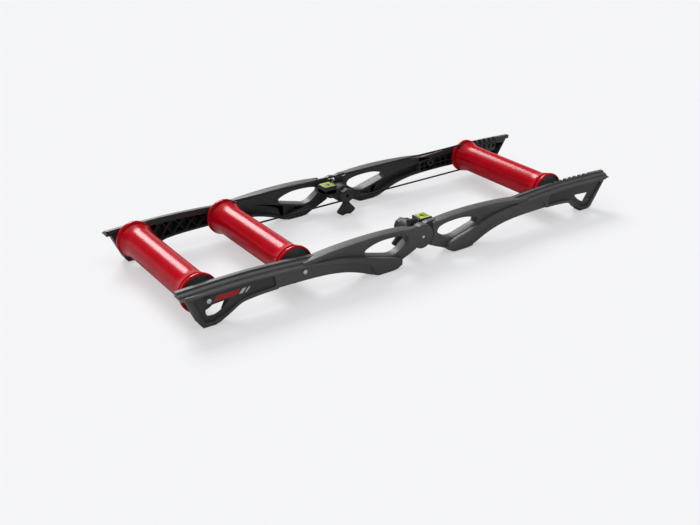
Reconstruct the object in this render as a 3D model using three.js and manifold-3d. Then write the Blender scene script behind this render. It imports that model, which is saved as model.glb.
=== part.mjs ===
// Folding bike rollers: three red drums between two moulded rails that fold at the middle.
// Millimetres, +Z up. X runs from the rear rollers to the front roller, Y to the rider's left.
// The origin is on the floor, under the middle of the object, below the fold hinges.
import * as THREE from 'three';
import { mergeVertices } from 'three/addons/utils/BufferGeometryUtils.js';
import Module from 'manifold-3d';

const wasm = await Module();
wasm.setup();

// Overall
const HALF_LENGTH = 700; // from the fold axis to either end
const RAIL_HEIGHT = 100; // height of the rail top at its ends
const DRUM_HALF_LENGTH = 187;
const DRUM_SIDE_GAP = 12; // from a drum's end to the rail beside it
const RAIL_INNER = DRUM_HALF_LENGTH + DRUM_SIDE_GAP; // from the middle plane to a rail's inner face
const CLEARANCE = 0.3; // gap between pieces that touch
const OVERRUN = 6; // how far a cut runs past the material
const WALL = 4; // moulded skin
const END_WALL = 12; // from the slanted end to the channel, along the top
const RIB = 2.4; // moulded ribs

// Rail widths, measured outwards from the rail's inner face
const ARCH_WIDTH = 27;
const PANEL_WIDTH = 33;
const LIP_WIDTH = 36.5;
const FOOT_WIDTH = 41;
const RECESS_DEPTH = 3;

// Rail outline, each point as shares of the half length and of the rail height
const BOTTOM_SHARES = [
  [0.060, 0.27], [0.091, 0.185], [0.121, 0.09], [0.135, 0.03], [0.224, 0.03],
  [0.243, 0.06], [0.270, 0.14], [0.305, 0.24], [0.357, 0.35], [0.423, 0.425], [0.500, 0.45],
  [0.600, 0.46], [0.714, 0.44], [0.780, 0.39], [0.818, 0.22],
];
const ARCH_TOP_SHARES = [
  [0.071, 1.0], [0.109, 1.03], [0.160, 1.05], [0.219, 1.06], [0.304, 1.05],
  [0.370, 1.025], [0.417, 1.0], [0.493, 0.94],
];
const FLANGE_TOP_SHARES = [
  [0.471, 0.95], [0.540, 0.985], [0.620, 1.02], [0.745, 1.05], [0.857, 1.04], [1.0, 1.0],
];
const END_FOOT_SHARES = [0.858, 0.917];
const MIDDLE_FOOT_SHARES = [0.135, 0.224];
const END_TOP_SHARES = [0.985, 0.90];
const REAR_FOOT_SHIFT = 9;
const FRONT_FOOT_SHIFT = -9;
// The window between arch, strut and lower member
const WINDOW_SHARES = [
  [0.067, 0.67], [0.076, 0.80], [0.107, 0.86], [0.150, 0.885], [0.201, 0.88], [0.240, 0.82],
  [0.270, 0.73], [0.266, 0.60], [0.200, 0.475], [0.131, 0.35],
];
// Upper edge of the lower member, which runs out of the flange's edge down to the middle foot
const LEDGE_SHARES = [
  [0.113, 0.30], [0.140, 0.35], [0.200, 0.455], [0.263, 0.575], [0.310, 0.67],
  [0.363, 0.755], [0.427, 0.805], [0.499, 0.83], [0.560, 0.845], [0.638, 0.86],
];
const LEAN_SHARES = [0.623, 0.254]; // where the lower member's face starts and stops leaning out
const RECESS_SHARES = [
  [0.623, 0.67], [0.565, 0.80], [0.453, 0.745], [0.389, 0.65], [0.316, 0.53], [0.254, 0.36],
  [0.245, 0.24], [0.231, 0.01],
];
const HAND_HOLE_SHARES = [
  [0.811, 0.57], [0.893, 0.53], [0.907, 0.45], [0.903, 0.28], [0.870, 0.27], [0.836, 0.40],
];
const OUTLINE_ROUND = 14;
const HOLE_ROUND = 6;

// Flange section, from the rail's inner edge outwards
const FLANGE_FLAT = 11.5;
const FLANGE_DROP = 14;
const FLANGE_LIP = 4;
const FLANGE_DEPTH = 22;
const GROOVE_WIDTH = 1.6;
const GROOVE_DEPTH = 1.2;

// Ribs inside the channels
const RIB_INSET = 5;
const CROSS_COUNT = 5;
const GRID_COUNT = 4;
const REAR_RIB_SHARES = [0.575, 0.84];
const FRONT_RIB_SHARES = [0.50, 0.655];

// Fold hinge
const HINGE_HEIGHT = 66;
const HINGE_OUTER_RADIUS = 34;
const HINGE_INNER_RADIUS = 32;
// Where the rail grows out of its hinge disc, round the fold axis, as shares of the disc's radius
const HINGE_ROOT_SHARES = [[0.62, -0.853], [1.07, 0.882]];
// How far the arch's top runs on over its own disc; more would meet the other half at the end of the fold
const HINGE_SHOULDER_SHARES = [[0.426, 0.904], [0.765, 1.0]];
const HINGE_SPLIT = 13.5; // from the rail's inner face to the parting of the two discs
const PIN_RADIUS = 4;
const PIN_PROUD = 0.8;
const BARREL_RADIUS = 26;
const BARREL_LENGTH = 57;
const BARREL_CHAMFER = 2;
const BOX_NEAR = 22; // from the fold axis to the near wall of the latch box
const BOX_LENGTH = 40;
const BOX_WIDTH = 40;
const BOX_TOP = 95;
const BOX_BOTTOM = 72;
const BOX_STEP = 9; // how much lower the strip beside the rail is
const LABEL_MARGIN = 3;
const LABEL_THICKNESS = 1.2;
const PLUNGER_RADIUS = 6;
const PLUNGER_INSET = 12; // from the rail's inner face to the plunger's axis
const PLUNGER_HEIGHT = 97;
const PLUNGER_REACH = 10;
const PLUNGER_PROUD = 4; // out of its guide
const PLUNGER_TRAVEL = 5;
const PLUNGER_LENGTH = 22;
const GUIDE_WALL = 2.7;
const GUIDE_LENGTH = 28;
const LEVER_HUB_RADIUS = 21;
const LEVER_HUB_LENGTH = 19;
const LEVER_THICKNESS = 9;
const LEVER_REACH = 61;
const LEVER_HALF_WIDTH = 31;
const LEVER_SOCKET = 5;
const LEVER_HUB_SIDES = 8;
// Half outline of the lever's wing, as shares of its half width and of its reach
const WING_SHARES = [[0.30, 0.25], [0.36, 0.40], [1.0, 0.76], [0.94, 0.84], [0.42, 1.0], [0.12, 0.95]];

// Drums
const REAR_ROLLER_SHARE = 0.902; // places along the half length
const MIDDLE_ROLLER_SHARE = 0.53;
const FRONT_ROLLER_SHARE = 0.706;
const REAR_ROLLER_X = -REAR_ROLLER_SHARE * HALF_LENGTH;
const MIDDLE_ROLLER_X = -MIDDLE_ROLLER_SHARE * HALF_LENGTH;
const FRONT_ROLLER_X = FRONT_ROLLER_SHARE * HALF_LENGTH;
const REAR_ROLLER_HEIGHT = 69;
const MIDDLE_ROLLER_HEIGHT = 70;
const FRONT_ROLLER_HEIGHT = 75;
const DRUM_WAIST_RADIUS = 41;
const DRUM_SHOULDER_RADIUS = 47;
const DRUM_RING_RADIUS = 50;
const DRUM_WALL = 2.8;
const DRUM_FLARE = 34; // length over which a drum widens to its shoulder
const FLARE_SHARES = [0, 0.35, 0.6, 0.8, 1];
const RING_ROUND = 1.5;
const RING_CHAMFER = 0.6;
const RING_WIDTH = 9;
const GROOVE_BELT_WIDTH = 9;
const BELT_RADIUS = 2.5;
const BELT_CENTRE_RADIUS = 41.5;
const CAP_RADIUS = 44.4;
const CAP_THICKNESS = 3;
const CAP_RECESS = 3;
const CAP_HUB_RADIUS = 18;
const CAP_HUB_LENGTH = 12;
const CAP_RIM = 1; // how far the rim round the bearing stands proud
const CAP_BORE_RADIUS = 7;
const BEARING_RADIUS = 13;
const BEARING_WIDTH = 8;
const AXLE_RADIUS = 5;
const AXLE_END = 9; // how far an axle reaches into a rail
const BOSS_RADIUS = 12;
const SCREW_RADIUS = 3;
const SCREW_HEAD_RADIUS = 6;
const SCREW_HEAD_HEIGHT = 3;
const SOCKET_SIDES = 6;
const SLOT_PITCH = 20;
const SLOT_COUNT = 8;
const SLOT_SPAN = 10;
const SLOT_WALL_DEPTH = 5;
const SLOT_WALL_DROP = 16;

// Feet
const PAD_THICKNESS = 3;
const PAD_MARGIN = 3;

// Facets
const DRUM_SIDES = 30;
const ROUND_SIDES = 16;
const SMALL_SIDES = 12;
const BELT_SIDES = 8;
const BELT_ARC_STEPS = 16;
const BELT_RUN_STEPS = 8;
const CORNER_STEPS = 3; // most facets in one rounded corner
const STEP_TURN = 0.34; // radians turned by each of them
const EDGE_SHARE = 0.47; // most of an edge that the rounding of one of its corners takes

// A closed three.js geometry as a solid, after each point is moved by place
function solidOf(geometry, place = (x, y, z) => [x, y, z]) {
  const plain = geometry.index ? geometry.toNonIndexed() : geometry.clone();
  plain.deleteAttribute('normal');
  plain.deleteAttribute('uv');
  const merged = mergeVertices(plain);
  const from = merged.getAttribute('position');
  const vertProperties = new Float32Array(from.count * 3);
  for (let i = 0; i < from.count; i++) {
    vertProperties.set(place(from.getX(i), from.getY(i), from.getZ(i)), i * 3);
  }
  const triVerts = Uint32Array.from(merged.index.array);
  if (signedVolume(vertProperties, triVerts) < 0) triVerts.reverse();
  return new wasm.Manifold(new wasm.Mesh({ numProp: 3, vertProperties, triVerts }));
}

function signedVolume(points, triangles) {
  const [a, b, c] = [new THREE.Vector3(), new THREE.Vector3(), new THREE.Vector3()];
  let sum = 0;
  for (let i = 0; i < triangles.length; i += 3) {
    a.fromArray(points, triangles[i] * 3);
    b.fromArray(points, triangles[i + 1] * 3);
    c.fromArray(points, triangles[i + 2] * 3);
    sum += a.dot(b.cross(c));
  }
  return sum;
}

function geometryOf(solid) {
  const mesh = solid.getMesh();
  const geometry = new THREE.BufferGeometry();
  geometry.setAttribute('position', new THREE.BufferAttribute(Float32Array.from(mesh.vertProperties), 3));
  geometry.setIndex(new THREE.BufferAttribute(Uint32Array.from(mesh.triVerts), 1));
  geometry.computeVertexNormals();
  return geometry;
}

const joined = (...solids) => solids.reduce((whole, next) => whole.add(next));
const cutBy = (solid, ...cutters) => cutters.reduce((whole, next) => whole.subtract(next), solid);

// A closed outline with its corners rounded as far as their edges allow
function roundedShape(points, radius) {
  const corners = points.map(([x, y]) => new THREE.Vector2(x, y));
  const outline = [];
  corners.forEach((corner, i) => {
    const before = corners[(i + corners.length - 1) % corners.length];
    const after = corners[(i + 1) % corners.length];
    const shortest = Math.min(before.distanceTo(corner), after.distanceTo(corner));
    const reach = Math.min(radius, shortest * EDGE_SHARE);
    const start = corner.clone().add(before.clone().sub(corner).setLength(reach));
    const end = corner.clone().add(after.clone().sub(corner).setLength(reach));
    const turn = Math.abs(corner.clone().sub(before).cross(after.clone().sub(corner)))
      / (before.distanceTo(corner) * after.distanceTo(corner));
    const steps = Math.min(Math.round(Math.asin(Math.min(turn, 1)) / STEP_TURN), CORNER_STEPS);
    const bend = new THREE.QuadraticBezierCurve(start, corner, end);
    outline.push(...(steps ? bend.getPoints(steps) : [corner]));
  });
  return new THREE.Shape(outline);
}

// Prisms in the frame of one half rail: u away from the fold axis, v outwards, z up
function sidePrism(shape, from, to) {
  const geometry = new THREE.ExtrudeGeometry(shape, { depth: to - from, bevelEnabled: false });
  return solidOf(geometry, (x, y, z) => [x, RAIL_INNER + from + z, y]);
}

function planPrism(points, from, to) {
  const shape = new THREE.Shape(points.map(([u, v]) => new THREE.Vector2(u, RAIL_INNER + v)));
  const geometry = new THREE.ExtrudeGeometry(shape, { depth: to - from, bevelEnabled: false });
  return solidOf(geometry, (x, y, z) => [x, y, from + z]);
}

function block(u0, u1, v0, v1, z0, z1) {
  return planPrism([[u0, v0], [u1, v0], [u1, v1], [u0, v1]], z0, z1);
}

// A round bar along v
function crossBar(radius, u, z, from, to, sides = ROUND_SIDES) {
  const geometry = new THREE.CylinderGeometry(radius, radius, to - from, sides);
  return solidOf(geometry, (x, y, w) => [u + x, RAIL_INNER + (from + to) / 2 + y, z + w]);
}

// A round bar along u
function longBar(radius, v, z, from, to, sides = SMALL_SIDES) {
  const geometry = new THREE.CylinderGeometry(radius, radius, to - from, sides);
  return solidOf(geometry, (x, y, w) => [(from + to) / 2 + y, RAIL_INNER + v + x, z + w]);
}

// A straight rib between two points of the side view
function rib([u0, z0], [u1, z1], from, to) {
  const along = new THREE.Vector2(u1 - u0, z1 - z0);
  const side = new THREE.Vector2(-along.y, along.x).setLength(RIB / 2);
  const points = [[1, 0], [1, 1], [-1, 1], [-1, 0]].map(([across, far]) => new THREE.Vector2(
    u0 + along.x * far + side.x * across,
    z0 + along.y * far + side.y * across,
  ));
  return sidePrism(new THREE.Shape(points), from, to);
}

const sized = (shares) => shares.map(([u, z]) => [u * HALF_LENGTH, z * RAIL_HEIGHT]);

// Height of a line of points at u, straight between its points
function lineAt(points, u) {
  const after = points.findIndex(([at]) => at >= u);
  if (after <= 0) return points.at(after)[1];
  const [u0, z0] = points[after - 1];
  const [u1, z1] = points[after];
  return THREE.MathUtils.mapLinear(u, u0, u1, z0, z1);
}

const bottomLine = sized(BOTTOM_SHARES);
const archTop = sized(ARCH_TOP_SHARES);
const flangeTop = sized(FLANGE_TOP_SHARES);
const ledge = sized(LEDGE_SHARES);
const flangeStart = flangeTop[0][0];
const topLimit = flangeTop.reduce((most, [, z]) => Math.max(most, z), 0) + OVERRUN;
const [leanStart, leanEnd] = LEAN_SHARES.map((share) => share * HALF_LENGTH);
const [endTopU, endTopZ] = sized([END_TOP_SHARES])[0];
const roundFold = (shares) => shares.map(([u, z]) => [
  u * HINGE_OUTER_RADIUS, HINGE_HEIGHT + z * HINGE_OUTER_RADIUS,
]);
const [rootBelow, rootAbove] = roundFold(HINGE_ROOT_SHARES);
const bottomAt = (u) => lineAt(bottomLine, u);
const flangeAt = (u) => lineAt(flangeTop, u);
const endFootOf = (shift) => END_FOOT_SHARES.map((share) => share * HALF_LENGTH + shift);

// The sloping cap of the rail's end beam, with its three bands parted by two grooves
function flange() {
  const slope = FLANGE_DROP / (LIP_WIDTH - FLANGE_FLAT);
  const second = (FLANGE_FLAT + LIP_WIDTH) / 2;
  const dropAt = (v) => -Math.max(v - FLANGE_FLAT, 0) * slope;
  const groove = (v) => [
    [v - GROOVE_WIDTH / 2, dropAt(v - GROOVE_WIDTH / 2)],
    [v, dropAt(v) - GROOVE_DEPTH],
    [v + GROOVE_WIDTH / 2, dropAt(v + GROOVE_WIDTH / 2)],
  ];
  const section = [
    [0, 0], ...groove(FLANGE_FLAT), ...groove(second), [LIP_WIDTH, -FLANGE_DROP],
    [LIP_WIDTH, -FLANGE_DROP - FLANGE_LIP], [PANEL_WIDTH, -FLANGE_DEPTH], [0, -FLANGE_DEPTH],
  ];
  const shape = new THREE.Shape(section.map(([v, z]) => new THREE.Vector2(v, z)));
  const spans = flangeTop.length - 1;
  const geometry = new THREE.ExtrudeGeometry(shape, { depth: spans, steps: spans, bevelEnabled: false });
  const cap = solidOf(geometry, (x, y, z) => {
    const [u, top] = flangeTop[Math.round(z)];
    return [u, RAIL_INNER + x, top + y];
  });
  const under = endTopZ - FLANGE_LIP;
  const undercut = new THREE.Shape([
    [endTopU, under], [endTopU - RAIL_HEIGHT / 2, 0],
    [HALF_LENGTH + OVERRUN, 0], [HALF_LENGTH + OVERRUN, under],
  ].map(([u, z]) => new THREE.Vector2(u, z)));
  return cutBy(cap, sidePrism(undercut, -OVERRUN, LIP_WIDTH + OVERRUN));
}

// Outline of the whole half rail seen from the side, under its flange
function railOutline(footShift) {
  const flangeLine = flangeTop.slice(1, -1).map(([u, z]) => [u, z - FLANGE_DROP]);
  return [
    rootBelow,
    ...bottomLine,
    ...endFootOf(footShift).map((u) => [u, PAD_THICKNESS]),
    [endTopU, endTopZ],
    ...flangeLine.reverse(),
    ...archTop.slice().reverse(),
    rootAbove,
  ];
}

// Plan of the lower member's outer face, which leans out from the panel to the middle foot
function leanPlan(inset) {
  return [
    [-OVERRUN, -OVERRUN], [HALF_LENGTH, -OVERRUN], [HALF_LENGTH, PANEL_WIDTH - inset],
    [leanStart, PANEL_WIDTH - inset], [leanEnd, FOOT_WIDTH - inset], [-OVERRUN, FOOT_WIDTH - inset],
  ];
}

function lowerMember() {
  const under = bottomLine.filter(([u]) => u > ledge[0][0] && u < leanStart);
  const [corner] = sized(RECESS_SHARES);
  const outline = [...under, [leanStart, bottomAt(leanStart)], corner, ...ledge.slice().reverse()];
  const member = sidePrism(roundedShape(outline, HOLE_ROUND), 0, FOOT_WIDTH);
  return member.intersect(planPrism(leanPlan(0), 0, RAIL_HEIGHT + OVERRUN));
}

// The shallow panel sunk into the side face, from the slanted step to the middle foot
function sunkPanel() {
  const edge = sized(RECESS_SHARES);
  const outline = [...edge, [edge.at(-1)[0], -OVERRUN], [leanStart, -OVERRUN]];
  const panel = sidePrism(roundedShape(outline, HOLE_ROUND), 0, FOOT_WIDTH + OVERRUN);
  return cutBy(panel, planPrism(leanPlan(RECESS_DEPTH), -OVERRUN, RAIL_HEIGHT + OVERRUN));
}

// The hollows that leave the rail an open channel towards the drums
function channel(footShift) {
  const floorOf = (points) => points.map(([u, z]) => [u, z + WALL]);
  const [startU, endU] = endFootOf(footShift);
  const low = bottomLine.filter(([u]) => u > flangeStart && u < startU);
  const roof = flangeTop.slice(1, -1).map(([u, z]) => [u, z - FLANGE_DEPTH / 2]);
  const beam = [...floorOf([[flangeStart, bottomAt(flangeStart)], ...low]),
    [startU + WALL / 2, PAD_THICKNESS + WALL], [endU - WALL, PAD_THICKNESS + WALL],
    [endTopU - END_WALL, endTopZ - FLANGE_DEPTH / 2],
    ...roof.reverse(), [flangeStart, flangeAt(flangeStart) - FLANGE_DEPTH / 2]];
  const lowStart = MIDDLE_FOOT_SHARES[0] * HALF_LENGTH - WALL;
  const lowUnder = bottomLine.filter(([u]) => u > lowStart && u < flangeStart);
  const over = ledge.filter(([u]) => u > lowStart && u < flangeStart).map(([u, z]) => [u, z - WALL]);
  const member = [...floorOf(lowUnder), [flangeStart - WALL, bottomAt(flangeStart - WALL) + WALL],
    [flangeStart - WALL, lineAt(ledge, flangeStart) - WALL], ...over.reverse()];
  const depth = PANEL_WIDTH - RECESS_DEPTH - WALL;
  return [
    sidePrism(roundedShape(beam, HOLE_ROUND), -OVERRUN, depth),
    sidePrism(roundedShape(member, HOLE_ROUND), -OVERRUN, depth),
  ];
}

// Crossed ribs that stiffen the channel's skin between the drums
function crossedRibs(from, to, count) {
  const step = (to - from) / count;
  const ribs = [];
  for (let i = 0; i < count; i++) {
    const [u0, u1] = [from + i * step, from + (i + 1) * step];
    const [low0, low1] = [bottomAt(u0) + WALL / 2, bottomAt(u1) + WALL / 2];
    const [high0, high1] = [u0, u1].map((u) => flangeAt(u) - FLANGE_DEPTH / 2 + WALL / 2);
    ribs.push(rib([u0, low0], [u1, high1], RIB_INSET, PANEL_WIDTH - WALL));
    ribs.push(rib([u0, high0], [u1, low1], RIB_INSET, PANEL_WIDTH - WALL));
  }
  return ribs;
}

// Upright ribs and one along the middle, which follows the beam's curve
function gridRibs(from, to, count) {
  const step = (to - from) / count;
  const middle = (u) => (bottomAt(u) + flangeAt(u) - FLANGE_DEPTH / 2) / 2;
  const ribs = [];
  for (let i = 0; i <= count; i++) {
    const u = from + i * step;
    const top = flangeAt(u) - FLANGE_DEPTH / 2 + WALL / 2;
    ribs.push(rib([u, bottomAt(u) + WALL / 2], [u, top], RIB_INSET, PANEL_WIDTH - WALL));
    if (i === count) break;
    ribs.push(rib([u, middle(u)], [u + step, middle(u + step)], RIB_INSET, PANEL_WIDTH - WALL));
  }
  return ribs;
}
// Blind seat for an axle end, with a hole for its screw through the skin
function axleBoss(u, z) {
  return crossBar(BOSS_RADIUS, u, z, 0, PANEL_WIDTH - WALL / 2);
}

function axleHoles(u, z) {
  return [
    crossBar(AXLE_RADIUS + CLEARANCE, u, z, -OVERRUN, AXLE_END + CLEARANCE),
    crossBar(SCREW_RADIUS + CLEARANCE, u, z, 0, FOOT_WIDTH + OVERRUN, SMALL_SIDES),
  ];
}

// One half rail. A has the hinge's outer disc, B the inner one; the front halves have the slots.
function halfRail(hasOuterDisc, isFront) {
  const footShift = isFront ? FRONT_FOOT_SHIFT : REAR_FOOT_SHIFT;
  const outline = railOutline(footShift);
  const arch = sidePrism(roundedShape(outline, OUTLINE_ROUND), 0, ARCH_WIDTH);
  const beam = sidePrism(roundedShape(outline, OUTLINE_ROUND), 0, PANEL_WIDTH)
    .intersect(block(flangeStart, HALF_LENGTH, 0, PANEL_WIDTH, 0, topLimit));
  const window = sidePrism(roundedShape(sized(WINDOW_SHARES), HOLE_ROUND), -OVERRUN, FOOT_WIDTH + OVERRUN);
  let rail = joined(arch, beam, flange(), lowerMember());
  rail = cutBy(rail, window, sunkPanel(), ...channel(footShift));

  const middleU = -MIDDLE_ROLLER_X;
  const span = (isFront ? FRONT_RIB_SHARES : REAR_RIB_SHARES).map((share) => share * HALF_LENGTH);
  const ribs = isFront ? gridRibs(...span, GRID_COUNT) : crossedRibs(...span, CROSS_COUNT);
  rail = joined(rail, ...ribs, axleBoss(middleU, MIDDLE_ROLLER_HEIGHT));
  rail = cutBy(rail, ...axleHoles(middleU, MIDDLE_ROLLER_HEIGHT));
  if (isFront) {
    rail = joined(rail, slotWall());
    rail = cutBy(rail, ...slots());
  } else {
    rail = joined(rail, axleBoss(-REAR_ROLLER_X, REAR_ROLLER_HEIGHT));
    rail = cutBy(rail, ...axleHoles(-REAR_ROLLER_X, REAR_ROLLER_HEIGHT));
  }
  rail = cutBy(rail, handHole(footShift));

  const gap = CLEARANCE / 2;
  const room = 2 * CLEARANCE;
  const disc = (radius, from, to) => crossBar(radius, 0, HINGE_HEIGHT, from, to, DRUM_SIDES);
  const bore = crossBar(PIN_RADIUS + CLEARANCE, 0, HINGE_HEIGHT, -OVERRUN, ARCH_WIDTH + OVERRUN, SMALL_SIDES);
  const outer = [HINGE_SPLIT + gap, ARCH_WIDTH];
  const inner = [0, HINGE_SPLIT - gap];
  const outerRoom = disc(HINGE_OUTER_RADIUS + room, HINGE_SPLIT - gap, FOOT_WIDTH + OVERRUN);
  const innerRoom = disc(HINGE_INNER_RADIUS + room, -OVERRUN, HINGE_SPLIT + gap);
  rail = hasOuterDisc
    ? cutBy(joined(rail, disc(HINGE_OUTER_RADIUS, ...outer), shoulder(...outer)), innerRoom, bore)
    : cutBy(joined(rail, disc(HINGE_INNER_RADIUS, ...inner), shoulder(...inner)), outerRoom, bore);
  return rail;
}

// Fills the corner between a hinge disc and the arch's top, in that disc's layer alone
function shoulder(from, to) {
  const [near, far] = [rootBelow, rootAbove].map(([u]) => [u, HINGE_HEIGHT]);
  const outline = [near, ...roundFold(HINGE_SHOULDER_SHARES), archTop[0], far];
  return sidePrism(new THREE.Shape(outline.map(([u, z]) => new THREE.Vector2(u, z))), from, to);
}

function handHole(footShift) {
  const points = sized(HAND_HOLE_SHARES).map(([u, z]) => [u + footShift / 2, z]);
  return sidePrism(roundedShape(points, HOLE_ROUND), -OVERRUN, FOOT_WIDTH + OVERRUN);
}

// The wall that the front axle hangs in, and its row of open slots for other wheelbases
function slotWall() {
  const half = AXLE_RADIUS + WALL;
  const end = FRONT_ROLLER_X + (SLOT_COUNT - 1) * SLOT_PITCH + half;
  const low = FRONT_ROLLER_HEIGHT - SLOT_WALL_DROP;
  return block(FRONT_ROLLER_X - half - WALL, end, 0, SLOT_WALL_DEPTH, low, flangeAt(FRONT_ROLLER_X) - WALL);
}

function slots() {
  const half = AXLE_RADIUS + CLEARANCE;
  const cuts = [];
  for (let i = 0; i < SLOT_COUNT; i++) {
    const u = FRONT_ROLLER_X + i * SLOT_PITCH;
    cuts.push(crossBar(half, u, FRONT_ROLLER_HEIGHT, -OVERRUN, SLOT_SPAN));
    cuts.push(block(u - half, u + half, -OVERRUN, SLOT_SPAN, FRONT_ROLLER_HEIGHT, topLimit));
  }
  return cuts;
}

// The lock's fixed housing: a barrel round the fold axis, the latch box and the plunger's guide
function lockHousing() {
  const profile = [
    [PIN_RADIUS + CLEARANCE, 0], [BARREL_RADIUS, 0], [BARREL_RADIUS, BARREL_LENGTH - BARREL_CHAMFER],
    [BARREL_RADIUS - BARREL_CHAMFER, BARREL_LENGTH], [PIN_RADIUS + CLEARANCE, BARREL_LENGTH],
    [PIN_RADIUS + CLEARANCE, 0],
  ].map(([r, y]) => new THREE.Vector2(r, y));
  const barrel = solidOf(new THREE.LatheGeometry(profile, DRUM_SIDES),
    (x, y, z) => [x, RAIL_INNER - CLEARANCE - y, HINGE_HEIGHT + z]);
  const depth = BARREL_LENGTH - 2 * BARREL_CHAMFER;
  const low = block(0, BOX_NEAR + BOX_LENGTH, -depth, -CLEARANCE, BOX_BOTTOM, BOX_TOP - BOX_STEP);
  const high = block(BOX_NEAR, BOX_NEAR + BOX_LENGTH, -depth, -depth + BOX_WIDTH, BOX_BOTTOM, BOX_TOP);
  const guideEnd = PLUNGER_REACH - PLUNGER_PROUD;
  const guide = longBar(PLUNGER_RADIUS + CLEARANCE + GUIDE_WALL, -PLUNGER_INSET, PLUNGER_HEIGHT,
    guideEnd - GUIDE_LENGTH, guideEnd);
  const saddle = block(guideEnd - GUIDE_LENGTH, guideEnd, -PLUNGER_INSET - PLUNGER_RADIUS,
    -PLUNGER_INSET + PLUNGER_RADIUS, BOX_TOP - BOX_STEP, PLUNGER_HEIGHT);
  const bore = longBar(PLUNGER_RADIUS + CLEARANCE, -PLUNGER_INSET, PLUNGER_HEIGHT,
    PLUNGER_REACH - PLUNGER_LENGTH - PLUNGER_TRAVEL - CLEARANCE, guideEnd + OVERRUN);
  const pinHole = crossBar(PIN_RADIUS + CLEARANCE, 0, HINGE_HEIGHT, -BARREL_LENGTH - OVERRUN, OVERRUN,
    SMALL_SIDES);
  return cutBy(joined(barrel, low, high, guide, saddle), bore, pinHole);
}

function labelPlate() {
  const depth = BARREL_LENGTH - 2 * BARREL_CHAMFER;
  const bottom = BOX_TOP + CLEARANCE;
  return block(BOX_NEAR + LABEL_MARGIN, BOX_NEAR + BOX_LENGTH - LABEL_MARGIN, -depth + LABEL_MARGIN,
    -depth + BOX_WIDTH - LABEL_MARGIN, bottom, bottom + LABEL_THICKNESS);
}

function plunger() {
  const from = PLUNGER_REACH - PLUNGER_LENGTH;
  return longBar(PLUNGER_RADIUS, -PLUNGER_INSET, PLUNGER_HEIGHT, from, PLUNGER_REACH);
}

function hingePin() {
  const inner = -BARREL_LENGTH - LEVER_HUB_LENGTH / 2;
  return crossBar(PIN_RADIUS, 0, HINGE_HEIGHT, inner, ARCH_WIDTH + PIN_PROUD, SMALL_SIDES);
}

// The winged lever that locks the fold, hung on the pin's inner end
function lockLever() {
  const face = -BARREL_LENGTH - 2 * CLEARANCE;
  const hub = crossBar(LEVER_HUB_RADIUS, 0, HINGE_HEIGHT, face - LEVER_HUB_LENGTH, face, LEVER_HUB_SIDES);
  const half = WING_SHARES.map(([across, down]) => [
    across * LEVER_HALF_WIDTH, HINGE_HEIGHT - down * LEVER_REACH,
  ]);
  const other = half.map(([u, z]) => [-u, z]).reverse();
  const middle = face - LEVER_HUB_LENGTH / 2;
  const wing = sidePrism(roundedShape([...half, ...other], HOLE_ROUND), middle - LEVER_THICKNESS / 2,
    middle + LEVER_THICKNESS / 2);
  const pinEnd = -BARREL_LENGTH - LEVER_HUB_LENGTH / 2;
  const seat = crossBar(PIN_RADIUS + CLEARANCE, 0, HINGE_HEIGHT, pinEnd - CLEARANCE, 0, SMALL_SIDES);
  const socket = crossBar(LEVER_SOCKET, 0, HINGE_HEIGHT, face - LEVER_HUB_LENGTH - OVERRUN, pinEnd - WALL,
    SMALL_SIDES);
  return cutBy(joined(hub, wing), seat, socket);
}

// A closed profile of radii and heights, turned about the drum's axis
function turnedGeometry(profile, sides) {
  const points = profile.map(([r, y]) => new THREE.Vector2(r, y));
  return geometryOf(solidOf(new THREE.LatheGeometry(points, sides)));
}

// A drum's shell: narrow waist, flared shoulders, a belt groove and an end ring at both ends
function drumShell() {
  const end = DRUM_HALF_LENGTH;
  const ring = end - RING_WIDTH;
  const groove = ring - GROOVE_BELT_WIDTH;
  const grooveRadius = BELT_CENTRE_RADIUS - BELT_RADIUS - CLEARANCE;
  const slant = (GROOVE_BELT_WIDTH - 2 * BELT_RADIUS) / 2 - CLEARANCE;
  const seat = CAP_RADIUS + CLEARANCE;
  const bore = grooveRadius - DRUM_WALL;
  const outerHalf = [
    ...FLARE_SHARES.map((share) => [
      DRUM_WAIST_RADIUS + (DRUM_SHOULDER_RADIUS - DRUM_WAIST_RADIUS) * share * share,
      groove - DRUM_FLARE * (1 - share),
    ]),
    [grooveRadius, groove + slant], [grooveRadius, ring - slant],
    [DRUM_RING_RADIUS - RING_ROUND, ring], [DRUM_RING_RADIUS, ring + RING_ROUND],
    [DRUM_RING_RADIUS, end - RING_ROUND], [DRUM_RING_RADIUS - RING_ROUND, end],
    [seat + RING_CHAMFER, end], [seat, end - RING_CHAMFER],
  ];
  const step = end - CAP_RECESS - CAP_THICKNESS - CLEARANCE;
  const innerHalf = [[seat, step], [bore, step - (seat - bore)]];
  const half = [...outerHalf, ...innerHalf];
  const profile = [...half.map(([r, y]) => [r, -y]).reverse(), ...half];
  profile.push(profile[0]);
  return turnedGeometry(profile, DRUM_SIDES);
}

function endCap() {
  const outer = DRUM_HALF_LENGTH - CAP_RECESS;
  const inner = outer - CAP_THICKNESS;
  const seat = BEARING_RADIUS + CLEARANCE;
  const profile = [
    [seat, outer + CAP_RIM], [seat + WALL, outer + CAP_RIM],
    [seat + WALL + CAP_RIM, outer], [CAP_RADIUS, outer],
    [CAP_RADIUS, inner], [CAP_HUB_RADIUS, inner], [CAP_HUB_RADIUS, outer - CAP_HUB_LENGTH],
    [CAP_BORE_RADIUS, outer - CAP_HUB_LENGTH], [CAP_BORE_RADIUS, outer - BEARING_WIDTH - CLEARANCE],
    [seat, outer - BEARING_WIDTH - CLEARANCE], [seat, outer + CAP_RIM],
  ];
  return turnedGeometry(profile, ROUND_SIDES);
}

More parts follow.
